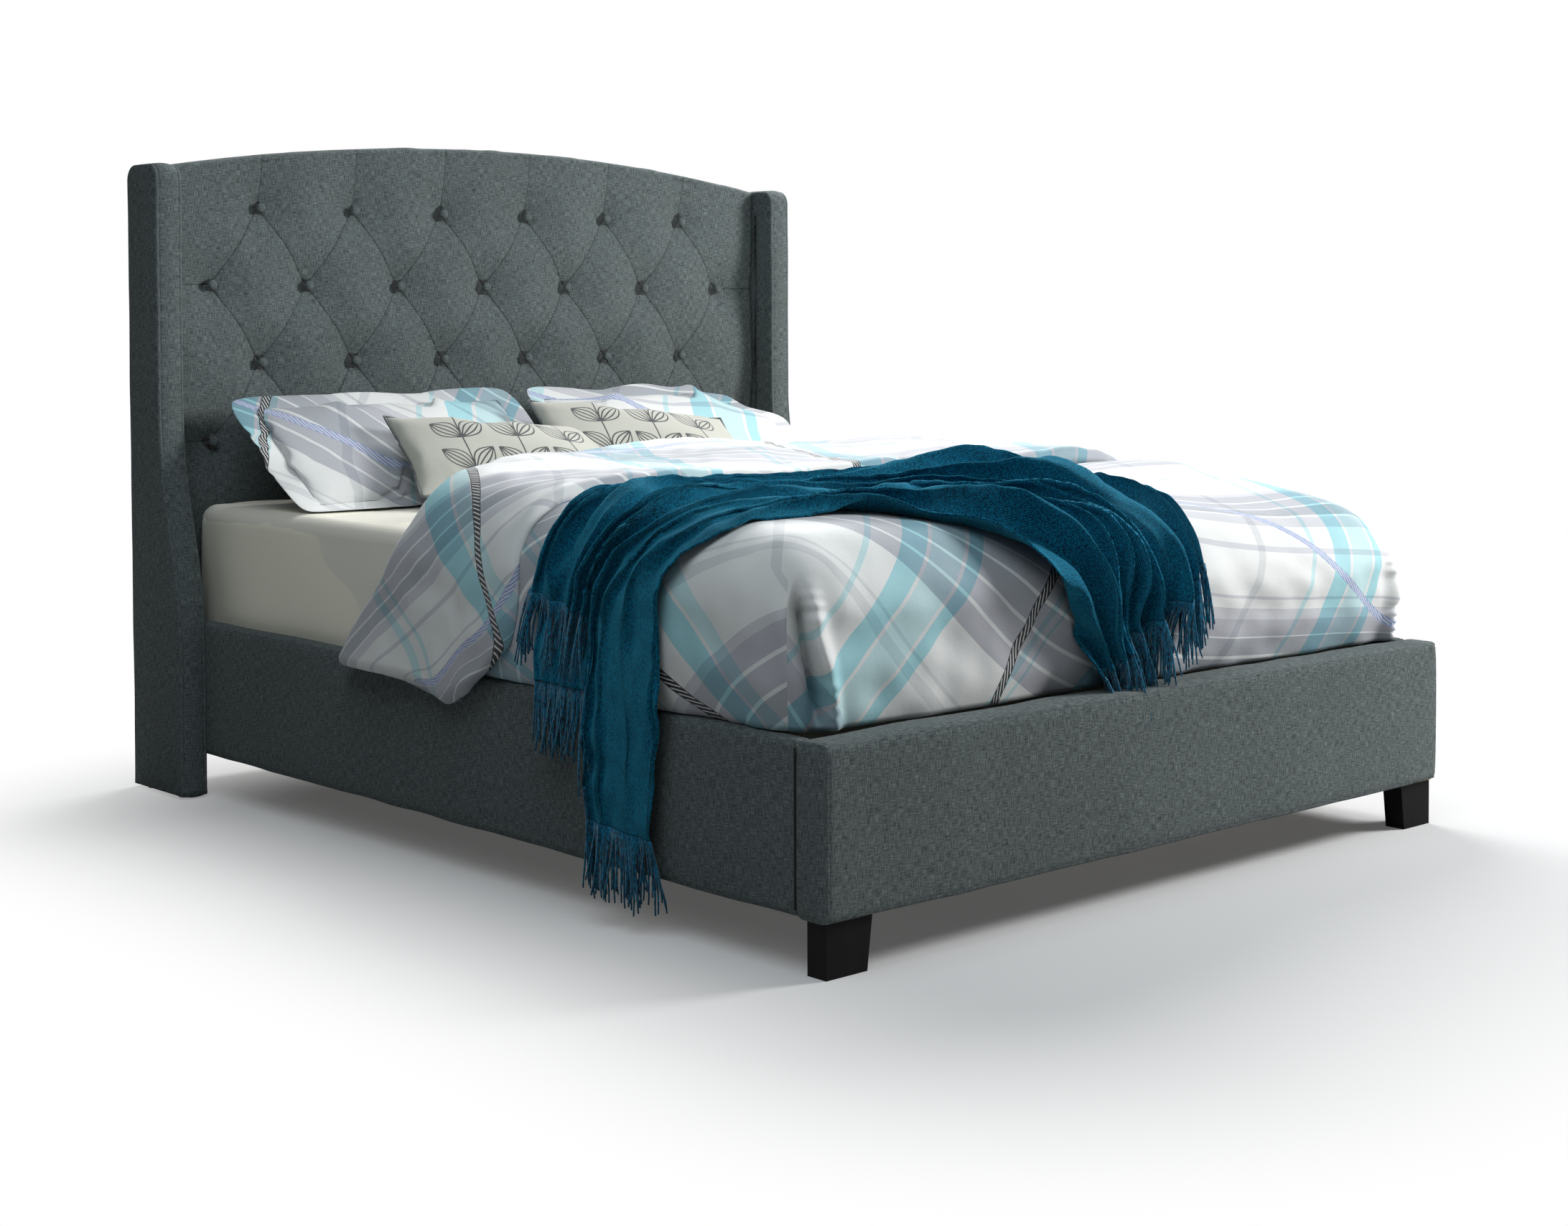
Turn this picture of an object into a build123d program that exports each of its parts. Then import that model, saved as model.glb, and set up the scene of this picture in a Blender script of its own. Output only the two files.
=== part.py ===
from build123d import *
import math
import os

# Upholstered bed with a tufted wing headboard, in millimetres.
# X runs across the bed, Y from the foot to the head and Z up from the floor.
# The origin is on the floor under the middle of the whole bed.

# The frame as it stands
frame_height = 280.0
ground_clearance = 90.0
seam_gap = 1.0
cut_overrun = 20.0
soft_gap = 0.5
hole_clearance = 0.2

# Upholstery over the boards
cover_wall = 8.0
cover_edge_radius = 12.0

# Headboard
headboard_rise = 73.0
back_cover_thickness = 2.0
stud_depth = 20.0
stud_width = 50.0
headboard_panel_thickness = 9.0
headboard_foam_thickness = 32.0
headboard_cover_thickness = 2.0
headboard_front_radius = 14.0
pad_bottom_lift = 30.0
inner_stud_pitch_share = 0.75

# Tufting
button_side_margin = 110.0
button_row_pitch = 173.0
top_row_drop = 84.0
button_row_count = 4
top_row_buttons = 6
button_radius = 10.5
button_thickness = 6.0
button_edge_radius = 2.5
dimple_radius = 46.0
dimple_depth = 22.0
dimple_floor_radius = 13.0
tie_radius = 1.5
tie_toggle_radius = 7.0
tie_toggle_thickness = 3.0

# Wings
wing_thickness = 60.0
wing_height = 1352.0
wing_top_depth = 134.0
wing_foot_depth = 222.0
wing_slant_low = 330.0
wing_slant_high = 830.0
wing_slant_ease_share = 0.36
wing_corner_radius = 34.0
wing_edge_radius = 6.0
glide_radius = 15.0
glide_height = 6.0
glide_setback = 40.0

# Footboard
footboard_depth = 75.0
footboard_board = 15.0
footboard_batten = 29.0

# Side rails and what they carry
rail_thickness = 40.0
ledger_width = 18.0
ledger_height = 30.0
ledger_end_gap = 12.0
slat_drop = 58.0
slat_thickness = 18.0
slat_width = 80.0
slat_count = 12
slat_end_gap = 2.0
slat_end_margin = 60.0
strap_width = 30.0
strap_thickness = 1.5
strap_offset = 400.0

# Corner brackets, bolts and screws
bracket_leg = 50.0
bracket_height = 100.0
bracket_wall = 4.0
bracket_lift = 50.0
fixing_end_margin = 22.0
bolt_head_radius = 6.5
bolt_head_height = 5.0
bolt_radius = 4.0
bolt_length = 32.0
wing_bolt_count = 3
wing_bolt_length = 85.0
screw_head_radius = 4.5
screw_head_height = 2.5
screw_radius = 2.2
screw_length = 34.0
ledger_screw_count = 4

# Front legs
leg_top_width = 96.0
leg_foot_width = 85.0
leg_depth = 45.0
leg_side_inset = 10.0
leg_front_inset = 12.0
leg_bolt_radius = 4.0
leg_bolt_reach = 22.0
leg_bolt_spacing = 50.0

# Centre beam, its hangers and its legs
beam_width = 60.0
beam_height = 60.0
hanger_wall = 3.0
hanger_reach = 40.0
hanger_flange = 20.0
centre_leg_width = 45.0
centre_leg_count = 2
post_clearance = 22.0
insert_radius = 8.0
insert_length = 12.0
stud_radius = 4.0
stud_top = 50.0
stud_play = 0.3
stud_travel = 8.0
stud_foot_radius = 6.0
stud_foot_thickness = 4.0
stud_collar_radius = 7.0
stud_collar_base = 9.0
stud_collar_thickness = 4.0
stud_collar_sides = 6
stud_hole_spare = 3.0
foot_pad_radius = 20.0
foot_pad_thickness = 8.0
foot_pad_floor = 3.0

# Mattress and fitted sheet
mattress_width = 1524.0
mattress_length = 2032.0
mattress_height = 303.0
mattress_corner_radius = 55.0
mattress_edge_radius = 32.0
mattress_head_gap = 10.0
mattress_foot_room = 58.0
mattress_side_room = 11.0
sheet_thickness = 2.0

# Duvet
duvet_loft = 83.0
duvet_side_wall = 29.0
duvet_edge_radius = 130.0
duvet_foot_sag = 55.0
duvet_sag_length = 560.0
duvet_rail_gap = 3.0
duvet_sham_gap = 190.0
duvet_foot_overlap = 9.0
duvet_footboard_gap = 6.0
duvet_tuck_depth = 45.0
duvet_tuck_thickness = 34.0
duvet_tuck_gap = 6.0
duvet_fold_length = 680.0
duvet_fold_height = 46.0
duvet_fold_side = 18.0
duvet_fold_edge_radius = 38.0
duvet_fold_drop = 20.0
duvet_fold_overlap = 60.0

# Throw
throw_thickness = 8.0
throw_ridge_height = 16.0
throw_ridge_count = 3
throw_ridge_share = 0.6
throw_gap = 0.5
throw_long_hem_height = 68.0
throw_foot_hem_height = 15.0
throw_middle_step = 205.0
throw_middle_hem_height = 30.0
throw_short_step = 325.0
throw_short_hem_height = 185.0
throw_foot_end = -360.0

# Shams and cushions
sham_side_inset = 34.0
sham_gap = 12.0
sham_reach = 485.0
sham_top_setback = 135.0
sham_top_height = 240.0
sham_back_height = 145.0
sham_shoulder_setback = 50.0
sham_heel_setback = 35.0
sham_heel_height = 25.0
sham_edge_radius = 16.0
cushion_side_inset = 226.0
cushion_height = 290.0
cushion_thickness = 100.0
cushion_edge_radius = 42.0
cushion_gap = 12.0

# Plan of the throw: each pair of points lies across it, nearer the foot and nearer the head, as shares of
# the half width of the duvet and of the bed's length
throw_plan_shares = [
    ((-1.10, 0.154), (-1.10, 0.342)),
    ((-0.88, 0.134), (-0.88, 0.326)),
    ((-0.65, 0.089), (-0.50, 0.352)),
    ((-0.45, 0.058), (-0.07, 0.362)),
    ((-0.33, 0.036), (0.14, 0.286)),
    ((-0.30, 0.000), (0.21, 0.134)),
    ((-0.26, -0.100), (0.17, -0.100)),
]

# Head edge of the duvet's fold, as shares of its half width and of its reach past the shoulder
fold_head_shares = [(1.0, 0.0), (0.93, 0.16), (0.82, 0.42), (0.64, 0.80), (0.38, 0.97), (0.0, 1.0)]

# Side of the duvet's fold, as shares of its length from the free edge and of the height under its shoulder
fold_side_shares = [(0.0, 1.0), (0.0, 0.25), (0.22, 0.0), (0.88, 0.0), (0.60, 0.72), (0.54, 1.0)]

# Overall sizes, which follow from the mattress and what holds it
headboard_depth = (back_cover_thickness + stud_depth + headboard_panel_thickness
                   + headboard_foam_thickness + headboard_cover_thickness)
bed_width = mattress_width + 2 * (mattress_side_room + rail_thickness)
bed_length = (footboard_depth + mattress_foot_room + mattress_length
              + mattress_head_gap + headboard_depth)

# Places worked out from the sizes above
half_width = bed_width / 2
foot_face = -bed_length / 2
head_face = bed_length / 2
frame_top = ground_clearance + frame_height
pad_bottom_height = frame_top + pad_bottom_lift
top_row_height = wing_height - top_row_drop
middle_rail_height = top_row_height - (button_row_count - 1) * button_row_pitch / 2
footboard_back = foot_face + footboard_depth
headboard_front = head_face - headboard_depth
panel_back = head_face - back_cover_thickness - stud_depth
panel_front = panel_back - headboard_panel_thickness
pad_back = headboard_front + headboard_cover_thickness
headboard_half = half_width - seam_gap
button_pitch = 2 * (headboard_half - button_side_margin) / top_row_buttons
inner_stud_offset = button_pitch * inner_stud_pitch_share
rail_inner = half_width - rail_thickness
slat_top = frame_top - slat_drop
slat_bottom = slat_top - slat_thickness
beam_bottom = slat_bottom - beam_height
hanger_bottom = beam_bottom - hanger_wall
ledger_inner = rail_inner - ledger_width
batten_front = foot_face + cover_wall + footboard_board
batten_back = footboard_back - cover_wall - footboard_board
batten_middle = (batten_front + batten_back) / 2
mattress_top = slat_top + mattress_height
sheet_top = mattress_top + sheet_thickness
mattress_head = headboard_front - mattress_head_gap
mattress_foot = mattress_head - mattress_length
duvet_half_width = half_width + duvet_rail_gap + duvet_side_wall
duvet_foot = footboard_back - duvet_foot_overlap
duvet_head = headboard_front - sham_reach - duvet_sham_gap
duvet_top = sheet_top + duvet_loft
duvet_hem = frame_top + soft_gap
fold_foot = duvet_head - duvet_fold_length
fold_shoulder = fold_foot + fold_side_shares[-1][0] * duvet_fold_length
fold_hem = frame_top - duvet_fold_drop
fold_half = duvet_half_width + duvet_fold_side
sham_width = (mattress_width - sham_gap) / 2 - sham_side_inset
cushion_width = (mattress_width - cushion_gap) / 2 - cushion_side_inset

wood_screw = (screw_head_radius, screw_head_height, screw_radius, screw_length)
frame_bolt = (bolt_head_radius, bolt_head_height, bolt_radius, bolt_length)
wing_bolt = (bolt_head_radius, bolt_head_height, bolt_radius, wing_bolt_length)
sides = {"left": -1, "right": 1}


# Shared shapes

def block(x_span, y_span, z_span):
    spans = [sorted(span) for span in (x_span, y_span, z_span)]
    sizes = [high - low for low, high in spans]
    centre = [(high + low) / 2 for low, high in spans]
    return Pos(*centre) * Box(*sizes)


def upright(x, y, radius, z_low, z_high):
    return Pos(x, y, (z_low + z_high) / 2) * Cylinder(radius, z_high - z_low)


def even_places(low, high, count):
    if count < 2:
        return [(low + high) / 2]
    return [low + (high - low) * i / (count - 1) for i in range(count)]


def fastener(seat, direction, sizes, growth=0):
    head_radius, head_height, radius, length = sizes
    head = Pos(0, 0, -head_height / 2) * Cylinder(head_radius + growth, head_height)
    shank = Pos(0, 0, (length + growth) / 2) * Cylinder(radius + growth, length + growth)
    return Plane(origin=seat, z_dir=direction).location * (head + shank)


def fasteners(places, sizes, growth=0):
    return [fastener(seat, direction, sizes, growth) for seat, direction in places]


def group(solids):
    return Compound(children=list(solids))


def sided(side, x):
    return sides[side] * x


# Headboard

def headboard_outline(inset, bottom, drop=0):
    half = headboard_half - inset
    shoulder = wing_height - inset - drop
    crown = wing_height + headboard_rise - inset - drop
    arch = ThreePointArc((-half, shoulder), (0, crown), (half, shoulder))
    sides_and_base = Polyline((half, shoulder), (half, bottom), (-half, bottom), (-half, shoulder))
    return make_face([arch, sides_and_base])


def headboard_board(inset, bottom, y_low, y_high, drop=0):
    face = Plane.XZ * headboard_outline(inset, bottom, drop)
    return Pos(0, y_low, 0) * extrude(face, amount=y_high - y_low, dir=(0, 1, 0))


def button_places():
    places = []
    for row in range(button_row_count):
        count = top_row_buttons + row % 2
        height = top_row_height - row * button_row_pitch
        first = -(count - 1) / 2 * button_pitch
        places += [(first + i * button_pitch, height) for i in range(count)]
    return places


def facing_head(x, y, z):
    return Pos(x, y, z) * Rot(-90, 0, 0)


def dimpled(board, front):
    middle = front + dimple_depth / 2
    dimple = Cone(dimple_radius, dimple_floor_radius, dimple_depth)
    return board - [facing_head(x, middle, z) * dimple for x, z in button_places()]


def tie_holes():
    depth = panel_back - headboard_front
    hole = Cylinder(tie_radius + hole_clearance, depth + 2 * cut_overrun)
    return [facing_head(x, headboard_front + depth / 2, z) * hole for x, z in button_places()]


def softened(board, radius):
    front_edges = board.faces().sort_by(Axis.Y)[0].edges()
    return fillet(front_edges, radius)


def headboard_foam():
    inset = headboard_cover_thickness
    radius = headboard_front_radius - headboard_cover_thickness
    blank = softened(headboard_board(inset, pad_bottom_height, pad_back, panel_front), radius)
    return dimpled(blank, pad_back) - tie_holes()


def headboard_cross_rail():
    half = headboard_half - headboard_cover_thickness
    rail = block((-half, half), (pad_back, panel_front), (ground_clearance, pad_bottom_height))
    return rail - head_fixing_holes()


def head_fixing_holes():
    bolts = fasteners(bracket_bolt_places("head"), frame_bolt, hole_clearance)
    screws = fasteners(hanger_screw_places("head"), wood_screw, hole_clearance)
    return bolts + screws


def headboard_cover():
    back = head_face - back_cover_thickness
    blank = headboard_board(0, ground_clearance, headboard_front, back)
    outside = dimpled(softened(blank, headboard_front_radius), headboard_front)
    inset = headboard_cover_thickness
    bottom = ground_clearance - cut_overrun
    behind_foam = headboard_board(inset, bottom, panel_front, back)
    half = headboard_half - inset
    below_foam = block((-half, half), (pad_back, panel_front), (bottom, pad_bottom_height))
    fixings = tie_holes() + head_fixing_holes() + wing_bolt_holes()
    return outside - headboard_foam() - behind_foam - below_foam - fixings


def headboard_panel():
    inset = headboard_cover_thickness
    board = headboard_board(inset, ground_clearance, panel_front, panel_back)
    return board - tie_holes() - head_fixing_holes()


def headboard_stud_frame():
    y_span = (panel_back, panel_back + stud_depth)
    inset = headboard_cover_thickness
    half = headboard_half - inset
    whole = headboard_board(inset, ground_clearance, *y_span)
    under_arch = headboard_board(inset, ground_clearance, *y_span, drop=stud_width)
    low = ground_clearance + stud_width
    middle = (middle_rail_height - stud_width / 2, middle_rail_height + stud_width / 2)
    inner = half - stud_width
    members = [whole - under_arch - block((-half, half), y_span, (0, middle_rail_height))]
    for side in sides.values():
        outer_stud = block((side * half, side * inner), y_span, (ground_clearance, head_face * 2))
        members.append(outer_stud & under_arch)
        middle_x = side * inner_stud_offset
        stud_span = (middle_x - stud_width / 2, middle_x + stud_width / 2)
        members.append(block(stud_span, y_span, (low, middle[0])))
        members.append(block(stud_span, y_span, (middle[1], head_face * 2)) & under_arch)
    members.append(block((-inner, inner), y_span, middle))
    members.append(block((-inner, inner), y_span, (ground_clearance, low)))
    return group([solid - wing_bolt_holes() for member in members for solid in member.solids()])


def headboard_back_cover():
    return headboard_board(0, ground_clearance, head_face - back_cover_thickness, head_face)


def headboard_button():
    button = Cylinder(button_radius, button_thickness)
    return fillet(button.edges().sort_by(Axis.Z)[-1], button_edge_radius)


def headboard_buttons():
    y = headboard_front + dimple_depth - button_thickness / 2
    turned = Rot(90, 0, 0) * headboard_button()
    return group([Pos(x, y, z) * turned for x, z in button_places()])


def button_ties():
    front = headboard_front + dimple_depth
    length = panel_back - front
    ties = []
    for x, z in button_places():
        cord = facing_head(x, front + length / 2, z) * Cylinder(tie_radius, length)
        toggle_middle = panel_back + tie_toggle_thickness / 2
        toggle = facing_head(x, toggle_middle, z) * Cylinder(tie_toggle_radius, tie_toggle_thickness)
        ties.append(cord + toggle)
    return group(ties)


# Wings

def wing_profile(inset):
    front_low = head_face - wing_foot_depth + inset
    front_high = head_face - wing_top_depth + inset
    back = head_face - inset
    top = wing_height - inset
    ease = (wing_slant_high - wing_slant_low) * wing_slant_ease_share
    lower = Line((front_low, glide_height), (front_low, wing_slant_low))
    slant = Bezier(
        (front_low, wing_slant_low),
        (front_low, wing_slant_low + ease),
        (front_high, wing_slant_high - ease),
        (front_high, wing_slant_high),
    )
    rest = Polyline(
        (front_high, wing_slant_high),
        (front_high, top),
        (back, top),
        (back, glide_height),
        (front_low, glide_height),
    )
    return Plane.YZ * make_face([lower, slant, rest])


def wing_body(inset):
    body = extrude(wing_profile(inset), amount=wing_thickness - 2 * inset)
    top_edges = body.edges().filter_by(Axis.X).group_by(Axis.Z)[-1]
    return Pos(half_width + inset, 0, 0) * fillet(top_edges, wing_corner_radius - inset)


def right_or_left(shape, side):
    return shape if side == "right" else mirror(shape, about=Plane.YZ)


def wing_bolt_holes():
    return fasteners(wing_bolt_places(), wing_bolt, hole_clearance)


def wing_core(side):
    return right_or_left(wing_body(cover_wall), side) - wing_bolt_holes()


def wing_cover(side):
    outside = wing_body(0)
    flanks = outside.faces().filter_by(Plane.YZ)
    outside = fillet(flanks.edges() - outside.faces().sort_by(Axis.Z)[0].edges(), wing_edge_radius)
    return right_or_left(outside - wing_body(cover_wall), side) - wing_bolt_holes()


def wing_bolt_places():
    y = panel_back + stud_depth / 2
    seat = headboard_half - headboard_cover_thickness - stud_width + bolt_head_height
    heights = even_places(pad_bottom_height, wing_height - wing_thickness * 2, wing_bolt_count)
    return [((side * seat, y, z), (side, 0, 0)) for side in sides.values() for z in heights]


def wing_glide_places():
    x = half_width + wing_thickness / 2
    front = head_face - wing_foot_depth + glide_setback
    back = head_face - glide_setback
    return [(side * x, y) for side in sides.values() for y in (front, back)]


def wing_glides():
    return group([upright(x, y, glide_radius, 0, glide_height) for x, y in wing_glide_places()])


# Footboard

def footboard_inside():
    low = half_width - cover_wall
    return (-low, low), (foot_face + cover_wall, footboard_back - cover_wall)


def foot_fixing_holes():
    bolts = fasteners(bracket_bolt_places("foot"), frame_bolt, hole_clearance)
    screws = fasteners(hanger_screw_places("foot"), wood_screw, hole_clearance)
    return bolts + screws


def footboard_cover():
    outside = block((-half_width, half_width), (foot_face, footboard_back), (ground_clearance, frame_top))
    upper = outside.edges().filter_by(Axis.Z) + outside.edges().group_by(Axis.Z)[-1]
    outside = fillet(upper, cover_edge_radius)
    x_span, y_span = footboard_inside()
    hollow = block(x_span, y_span, (ground_clearance - cut_overrun, frame_top - cover_wall))
    return outside - hollow - foot_fixing_holes()


def footboard_front_board():
    x_span, y_span = footboard_inside()
    return block(x_span, (y_span[0], batten_front), (ground_clearance, frame_top - cover_wall))


def footboard_back_board():
    x_span, y_span = footboard_inside()
    board = block(x_span, (batten_back, y_span[1]), (ground_clearance, frame_top - cover_wall))
    return board - foot_fixing_holes()


def footboard_battens():
    x_span = footboard_inside()[0]
    y_span = (batten_front, batten_back)
    top = frame_top - cover_wall
    low = (ground_clearance, ground_clearance + footboard_batten)
    high = (top - footboard_batten, top)
    members = [block(x_span, y_span, low), block(x_span, y_span, high)]
    for x in x_span:
        inner = x - math.copysign(footboard_batten, x)
        members.append(block((x, inner), y_span, (low[1], high[0])))
    holes = leg_bolt_holes() + foot_fixing_holes()
    return group([member - holes for member in members])


# Front legs

def leg_middle(side):
    return sided(side, half_width - leg_side_inset - leg_foot_width / 2)


def front_leg(side):
    outer = sided(side, half_width - leg_side_inset)
    inner_top = sided(side, half_width - leg_side_inset - leg_top_width)
    inner_foot = sided(side, half_width - leg_side_inset - leg_foot_width)
    outline = Polyline(
        (outer, ground_clearance),
        (outer, 0),
        (inner_foot, 0),
        (inner_top, ground_clearance),
        close=True,
    )
    front = foot_face + leg_front_inset
    face = Plane.XZ * make_face(outline)
    leg = Pos(0, front, 0) * extrude(face, amount=leg_depth, dir=(0, 1, 0))
    return leg - leg_bolt_holes()


def leg_bolt_places():
    places = []
    for side in sides:
        for step in (-1, 1):
            places.append((leg_middle(side) + step * leg_bolt_spacing / 2, batten_middle))
    return places


def leg_bolt_span():
    return ground_clearance - leg_bolt_reach, ground_clearance + leg_bolt_reach


def leg_bolt_holes():
    low, high = leg_bolt_span()
    radius = leg_bolt_radius + hole_clearance
    return [upright(x, y, radius, low, high) for x, y in leg_bolt_places()]


def leg_bolts():
    low, high = leg_bolt_span()
    bolts = [upright(x, y, leg_bolt_radius, low, high) for x, y in leg_bolt_places()]
    reach = (beam_bottom - leg_bolt_reach, beam_bottom + leg_bolt_reach)
    bolts += [upright(0, y, leg_bolt_radius, *reach) for y in centre_leg_places()]
    return group(bolts)


# Side rails

def rail_span():
    return footboard_back, headboard_front


def side_fixing_holes():
    return fasteners(bracket_screw_places() + ledger_screw_places(), wood_screw, hole_clearance)


def side_rail_cover(side):
    z_span = (ground_clearance, frame_top)
    outside = block((rail_inner, half_width), rail_span(), z_span)
    outside = fillet(outside.edges().filter_by(Axis.Y), cover_edge_radius)
    x_span = (rail_inner + cover_wall, half_width - cover_wall)
    hollow = block(x_span, rail_span(), (z_span[0] + cover_wall, z_span[1] - cover_wall))
    return right_or_left(outside - hollow, side) - side_fixing_holes()


def side_rail_core(side):
    x_span = (rail_inner + cover_wall, half_width - cover_wall)
    z_span = (ground_clearance + cover_wall, frame_top - cover_wall)
    return right_or_left(block(x_span, rail_span(), z_span), side) - side_fixing_holes()


def ledger_span():
    margin = bracket_leg + ledger_end_gap
    return footboard_back + margin, headboard_front - margin


def ledger(side):
    z_span = (slat_bottom - ledger_height, slat_bottom)
    solid = right_or_left(block((ledger_inner, rail_inner), ledger_span(), z_span), side)
    return solid - side_fixing_holes() - fasteners(slat_screw_places(), wood_screw, hole_clearance)


def ledger_screw_places():
    low, high = ledger_span()
    z = slat_bottom - ledger_height / 2
    seat = ledger_inner + screw_head_height
    ends = even_places(low + fixing_end_margin, high - fixing_end_margin, ledger_screw_count)
    between_slats = [nearest_slat_gap(y) for y in ends]
    return [((side * seat, y, z), (side, 0, 0)) for side in sides.values() for y in between_slats]


# Corner brackets

def bracket_wall_face(end):
    return footboard_back if end == "foot" else headboard_front


def bracket_direction(end):
    return 1 if end == "foot" else -1


def bracket_z_span():
    low = ground_clearance + bracket_lift
    return low, low + bracket_height


def bracket_fixing_heights():
    low, high = bracket_z_span()
    return low + fixing_end_margin, high - fixing_end_margin


def rail_bracket(side, end):
    wall = bracket_wall_face(end)
    inward = bracket_direction(end)
    long_y = (wall, wall + inward * bracket_leg)
    thin_y = (wall, wall + inward * bracket_wall)
    on_rail = block((rail_inner - bracket_wall, rail_inner), long_y, bracket_z_span())
    on_end = block((rail_inner - bracket_leg, rail_inner), thin_y, bracket_z_span())
    return right_or_left(on_rail + on_end, side)


def rail_brackets():
    bolts = fasteners(bracket_bolt_places("foot") + bracket_bolt_places("head"), frame_bolt, hole_clearance)
    screws = fasteners(bracket_screw_places(), wood_screw, hole_clearance)
    solids = [rail_bracket(side, end) for side in sides for end in ("foot", "head")]
    return group([solid - bolts - screws for solid in solids])


def bracket_bolt_places(end):
    inward = bracket_direction(end)
    y = bracket_wall_face(end) + inward * bracket_wall
    x = rail_inner - bracket_leg / 2
    heights = bracket_fixing_heights()
    return [((side * x, y, z), (0, -inward, 0)) for side in sides.values() for z in heights]


def bracket_screw_places():
    places = []
    x = rail_inner - bracket_wall
    for end in ("foot", "head"):
        y = bracket_wall_face(end) + bracket_direction(end) * (bracket_leg - fixing_end_margin / 2)
        for side in sides.values():
            places += [((side * x, y, z), (side, 0, 0)) for z in bracket_fixing_heights()]
    return places


# Slats

def slat_places():
    low, high = rail_span()
    margin = slat_end_margin + slat_width / 2
    return even_places(low + margin, high - margin, slat_count)


def nearest_slat_gap(y):
    places = slat_places()
    if len(places) < 2:
        return y
    middles = [(a + b) / 2 for a, b in zip(places, places[1:])]
    return min(middles, key=lambda middle: abs(middle - y))


def slat(y):
    half = rail_inner - slat_end_gap
    board = block((-half, half), (y - slat_width / 2, y + slat_width / 2), (slat_bottom, slat_top))
    return board - fasteners([p for p in slat_screw_places() if p[0][1] == y], wood_screw, hole_clearance)


def slat_screw_places():
    x = rail_inner - ledger_width / 2
    z = slat_top - screw_head_height
    places = []
    for y in slat_places():
        places += [((side * x, y, z), (0, 0, -1)) for side in sides.values()]
    return places


def slat_straps():
    places = slat_places()
    y_span = (places[0] - slat_width / 2, places[-1] + slat_width / 2)
    z_span = (slat_bottom - strap_thickness, slat_bottom)
    straps = []
    for side in sides.values():
        middle = side * strap_offset
        x_span = (middle - strap_width / 2, middle + strap_width / 2)
        straps.append(block(x_span, y_span, z_span))
    return group(straps)


# Centre beam

def beam_end(end):
    return bracket_wall_face(end) + bracket_direction(end) * hanger_wall


def centre_beam():
    half = beam_width / 2
    y_span = (beam_end("foot"), beam_end("head"))
    beam = block((-half, half), y_span, (beam_bottom, slat_bottom))
    radius = leg_bolt_radius + hole_clearance
    top = beam_bottom + leg_bolt_reach
    return beam - [upright(0, y, radius, beam_bottom, top) for y in centre_leg_places()]


def beam_hanger(end):
    wall = bracket_wall_face(end)
    inward = bracket_direction(end)
    half = beam_width / 2
    outer = half + hanger_wall
    plate_y = (wall, wall + inward * hanger_wall)
    arm_y = (wall, wall + inward * (hanger_wall + hanger_reach))
    cheek_top = slat_bottom - hanger_wall
    plate = block((-outer - hanger_flange, outer + hanger_flange), plate_y, (hanger_bottom, cheek_top))
    seat = block((-outer, outer), arm_y, (hanger_bottom, beam_bottom))
    cheeks = [block((s * half, s * outer), arm_y, (hanger_bottom, cheek_top)) for s in sides.values()]
    return plate + seat + cheeks - fasteners(hanger_screw_places(end), wood_screw, hole_clearance)


def beam_hangers():
    return group([beam_hanger("foot"), beam_hanger("head")])


def hanger_screw_places(end):
    inward = bracket_direction(end)
    y = bracket_wall_face(end) + inward * hanger_wall
    x = beam_width / 2 + hanger_wall + hanger_flange / 2
    z = (hanger_bottom + slat_bottom) / 2
    return [((side * x, y, z), (0, -inward, 0)) for side in sides.values()]


# Centre legs with levelling feet

def centre_leg_places():
    low, high = rail_span()
    step = (high - low) / (centre_leg_count + 1)
    return [low + step * (i + 1) for i in range(centre_leg_count)]


def centre_leg(y):
    half = centre_leg_width / 2
    leg = block((-half, half), (y - half, y + half), (post_clearance, beam_bottom))
    bolt_hole = upright(0, y, leg_bolt_radius + hole_clearance, beam_bottom - leg_bolt_reach, beam_bottom)
    insert_hole = upright(0, y, insert_radius, post_clearance, post_clearance + insert_length)
    stud_room = stud_top + stud_travel + stud_hole_spare
    stud_hole = upright(0, y, stud_radius + stud_play, post_clearance, stud_room)
    return leg - bolt_hole - insert_hole - stud_hole


def leg_inserts():
    span = (post_clearance, post_clearance + insert_length)
    bore = stud_radius + stud_play
    return group([
        upright(0, y, insert_radius, *span) - upright(0, y, bore, *span)
        for y in centre_leg_places()
    ])


def levelling_stud(y):
    foot_top = foot_pad_floor + stud_foot_thickness
    rod = upright(0, y, stud_radius, foot_pad_floor, stud_top)
    foot = upright(0, y, stud_foot_radius, foot_pad_floor, foot_top)
    hexagon = RegularPolygon(stud_collar_radius, stud_collar_sides)
    collar = Pos(0, y, stud_collar_base) * extrude(hexagon, stud_collar_thickness)
    return rod + foot + collar


def foot_pad(y):
    socket = upright(0, y, stud_foot_radius + stud_play, foot_pad_floor, foot_pad_thickness + cut_overrun)
    return upright(0, y, foot_pad_radius, 0, foot_pad_thickness) - socket


# Mattress and fitted sheet

def mattress_body(growth, bottom):
    half = mattress_width / 2 + growth
    y_span = (mattress_foot - growth, mattress_head + growth)
    body = block((-half, half), y_span, (bottom, mattress_top + growth))
    body = fillet(body.edges().filter_by(Axis.Z), mattress_corner_radius + growth)
    return fillet(body.faces().sort_by(Axis.Z)[-1].edges(), mattress_edge_radius + growth)


def mattress():
    return mattress_body(0, slat_top)


def fitted_sheet():
    return mattress_body(sheet_thickness, slat_top) - mattress_body(0, slat_top)


# Duvet

def across_bed(outline, half):
    return Pos(-half, 0, 0) * extrude(Plane.YZ * make_face(outline), amount=2 * half)


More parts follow.
